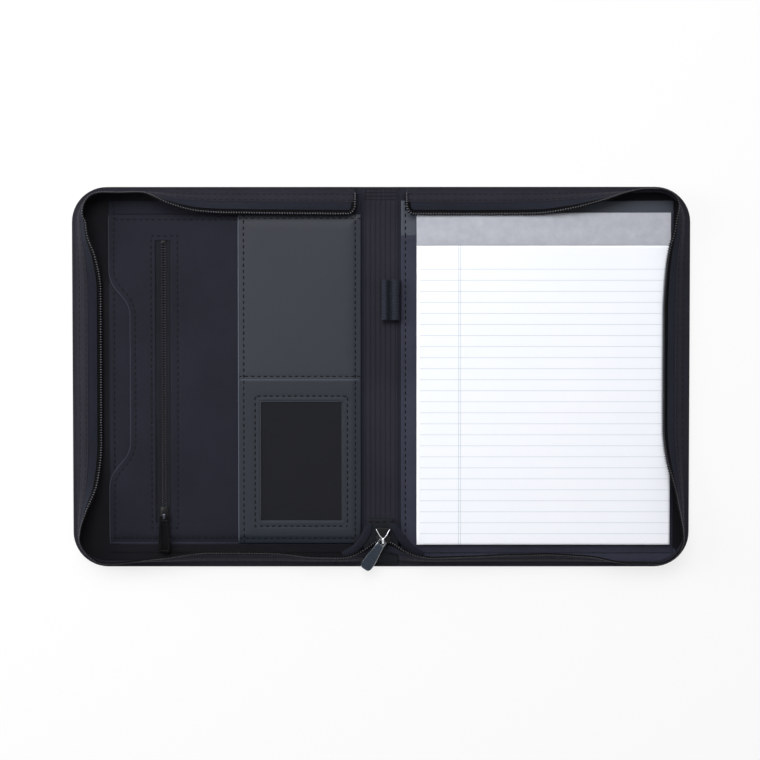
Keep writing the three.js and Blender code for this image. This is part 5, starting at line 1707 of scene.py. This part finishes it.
fittings = {
    "sliderX": 1.7, "plateTop": 14.555,
    "shieldHalf": 6.3, "shieldBack": -128.7, "shieldTip": -137.0, "shieldMiddle": -131.6,
    "shieldThickness": 0.7, "rim": 0.42,
    "pin": (1.7, -138.8, 15.85), "skew": 33.0, "droop": 5.0,
    "pullLength": 30.0, "neck": 6.8, "tip": 10.4, "pullThickness": 1.6, "corner": 6.0, "eyeLength": 3.4,
    "pinRadius": 0.75, "edge": 0.7, "edgeLeft": 0.16, "dome": 0.5, "footRound": 3.6,
    # node: piece, body, slot, edge rounding, finish, second finish, and the height above which it starts;
    # without a height it is on the rim
    "softened": {
        "main_slider": ("body", "zip_slider", "dark_chrome", 0.22, "blackMetal", "chrome", 14.585),
        "main_pull": ("plate", "zip_pull", "dark_chrome", 0.34, "gunmetal", "pullEdge", None),
        # inner slider: its top faces in dark chrome are a painted glint on the bridge
        "inner_slider": ("body", "pocket_slider", "black_metal", 0.16, "blackMetal", "gunmetal", 8.0),
        "inner_pull": ("plate", "pocket_pull", "black_metal", 0.45, "blackFace", "blackRim", None),
        "inner_top_stop": ("metal", "left_cover", "dark_chrome", 0.15, "blackMetal", None, None),
    },
}


# The CAD's metal parts with their edges rounded.
def softened(node):
    word, body, slot, width, finish, second, height = fittings["softened"][node]
    made = newObject(node + "_" + word, nodes[node].data.copy())
    work = bmesh.new()
    work.from_mesh(made.data)
    bmesh.ops.remove_doubles(work, verts=work.verts, dist=1e-6)
    bmesh.ops.dissolve_limit(work, angle_limit=math.radians(1.5), verts=work.verts, edges=work.edges)
    bmesh.ops.recalc_face_normals(work, faces=work.faces)
    work.to_mesh(made.data)
    work.free()
    bevel = made.modifiers.new("rounded_edges", "BEVEL")
    bevel.width = width * mm
    bevel.segments = 3
    bevel.limit_method = "ANGLE"
    bevel.angle_limit = math.radians(35)
    bevel.harden_normals = True
    mesh = applied(made).data
    mesh.materials.clear()
    for choice in filter(None, (finish, second)):
        mesh.materials.append(finishes[choice])
    mesh.shade_smooth()
    for face in mesh.polygons:
        shown = abs(face.normal.z) < 0.97 if height is None else face.center.z > height * mm
        face.material_index = 1 if second and shown else 0
    sharpen(made, 42)
    place(made, body, slot, [node])


# A bright-rimmed shield that stands over the slider's plate, pointed towards the bottom edge.
def makeShield():
    half, start, tip = fittings["shieldHalf"], fittings["shieldBack"], fittings["shieldTip"]
    middleX, middleY = fittings["sliderX"], fittings["shieldMiddle"]
    front = [(middleX + half * t * (1.0 - 0.06 * abs(t)), tip + (start - tip) * abs(t) ** 1.45)
             for t in map(float, np.linspace(-1, 1, 25))]
    (leftX, _), (rightX, _) = front[0], front[-1]
    back = [(rightX + (leftX - rightX) * k / 12, start + 0.7 + 0.35 * math.sin(math.pi * k / 12))
            for k in range(1, 12)]
    top = fittings["plateTop"] + 0.1
    base = fittings["plateTop"] - fittings["shieldThickness"]
    levels = [(0.9, base), (0.97, base + 0.05), (1.0, base + 0.25), (1.0, top - 0.25), (0.97, top - 0.06),
              (0.9, top), (0.6, top + 0.12), (0.25, top + 0.17), (0.02, top + 0.18)]
    rings = [[(middleX + (x - middleX) * share, middleY + (y - middleY) * share, z)
              for x, y in front + back] for share, z in levels]
    place(loft("main_slider_shield", rings, "blackMetal"), "zip_slider", "dark_chrome")
    rim = bead("main_slider_rim", [(x, y, top - 0.02) for x, y in front], fittings["rim"], "chrome")
    place(rim, "zip_slider", "dark_chrome")


def pullHalfWidth(y, inset):
    neck, tip, pin = fittings["neck"] / 2, fittings["tip"] / 2, fittings["pinRadius"]
    start, end = -fittings["eyeLength"] - pin, fittings["corner"] + pin - fittings["pullLength"]
    wide = neck + (tip - neck) * float(eased((y - start) / (end - start))) - inset
    low = pin + inset - fittings["pullLength"]
    away = max(0.0, (y - low) / fittings["footRound"])
    if away < 1:
        wide *= 0.62 + 0.38 * math.sqrt(1 - (1 - away) ** 2)
    return wide


def turnedPull(p):
    skew = Matrix.Rotation(math.radians(-fittings["skew"]), 3, "Z")
    droop = Matrix.Rotation(math.radians(fittings["droop"]), 3, "X")
    return tuple(skew @ (droop @ Vector(p)) + Vector(fittings["pin"]))


# Domed enamel on both faces of the pull. It covers the pull nearly to its left edge, painted shade for the
# left rim's dark reflection, and leaves more metal bare on the right.
def makeEnamel(hand, word):
    half, inset = fittings["pullThickness"] / 2, fittings["edge"]
    low, high = -fittings["pullLength"] + fittings["pinRadius"] + inset, -(fittings["eyeLength"] + 1.3)
    rings = []
    for y in [low + 0.02 + (high - low) * (1 - math.cos(math.pi * k / 40)) / 2 for k in range(41)]:
        near = max(min(y - low, high - y), 0.02)
        dome = fittings["dome"] * min(1.0, math.sqrt(near / 1.6))
        rounded = 0.55 + 0.45 * min(1.0, math.sqrt(near / 1.3))
        wide = pullHalfWidth(y, inset) * rounded
        wider = wide + (inset - fittings["edgeLeft"]) * rounded
        ring = []
        for k in range(17):
            a = math.pi * k / 16
            rise = dome * math.sin(a) ** 0.7 if 0 < k < 16 else 0.0
            ring.append(((wide if k <= 8 else wider) * math.cos(a), y, hand * (half - 0.12 + rise)))
        for k in range(1, 6):
            reach = (wider if k < 3 else wide) * 0.9
            ring.append((reach * math.cos(math.pi - math.pi * k / 6), y, hand * (half - 0.3)))
        rings.append([turnedPull(p) for p in ring])
    place(loft("main_pull_" + word, rings, "pullFace"), "zip_pull", "dark_chrome")


softened("main_slider")
makeShield()
softened("main_pull")
makeEnamel(1, "face")
makeEnamel(-1, "back")
for node in ("inner_slider", "inner_pull", "inner_top_stop"):
    softened(node)
print("zip fittings made")


# CAD nodes that keep their own shape

keptFinish = {"left_board": "board", "right_board": "board", "spine_board": "board",
              "pad_cardboard": "board", "pad_sheets": "stack"}
for name, finish in keptFinish.items():
    nodes[name].data.materials.clear()
    nodes[name].data.materials.append(finishes[finish])
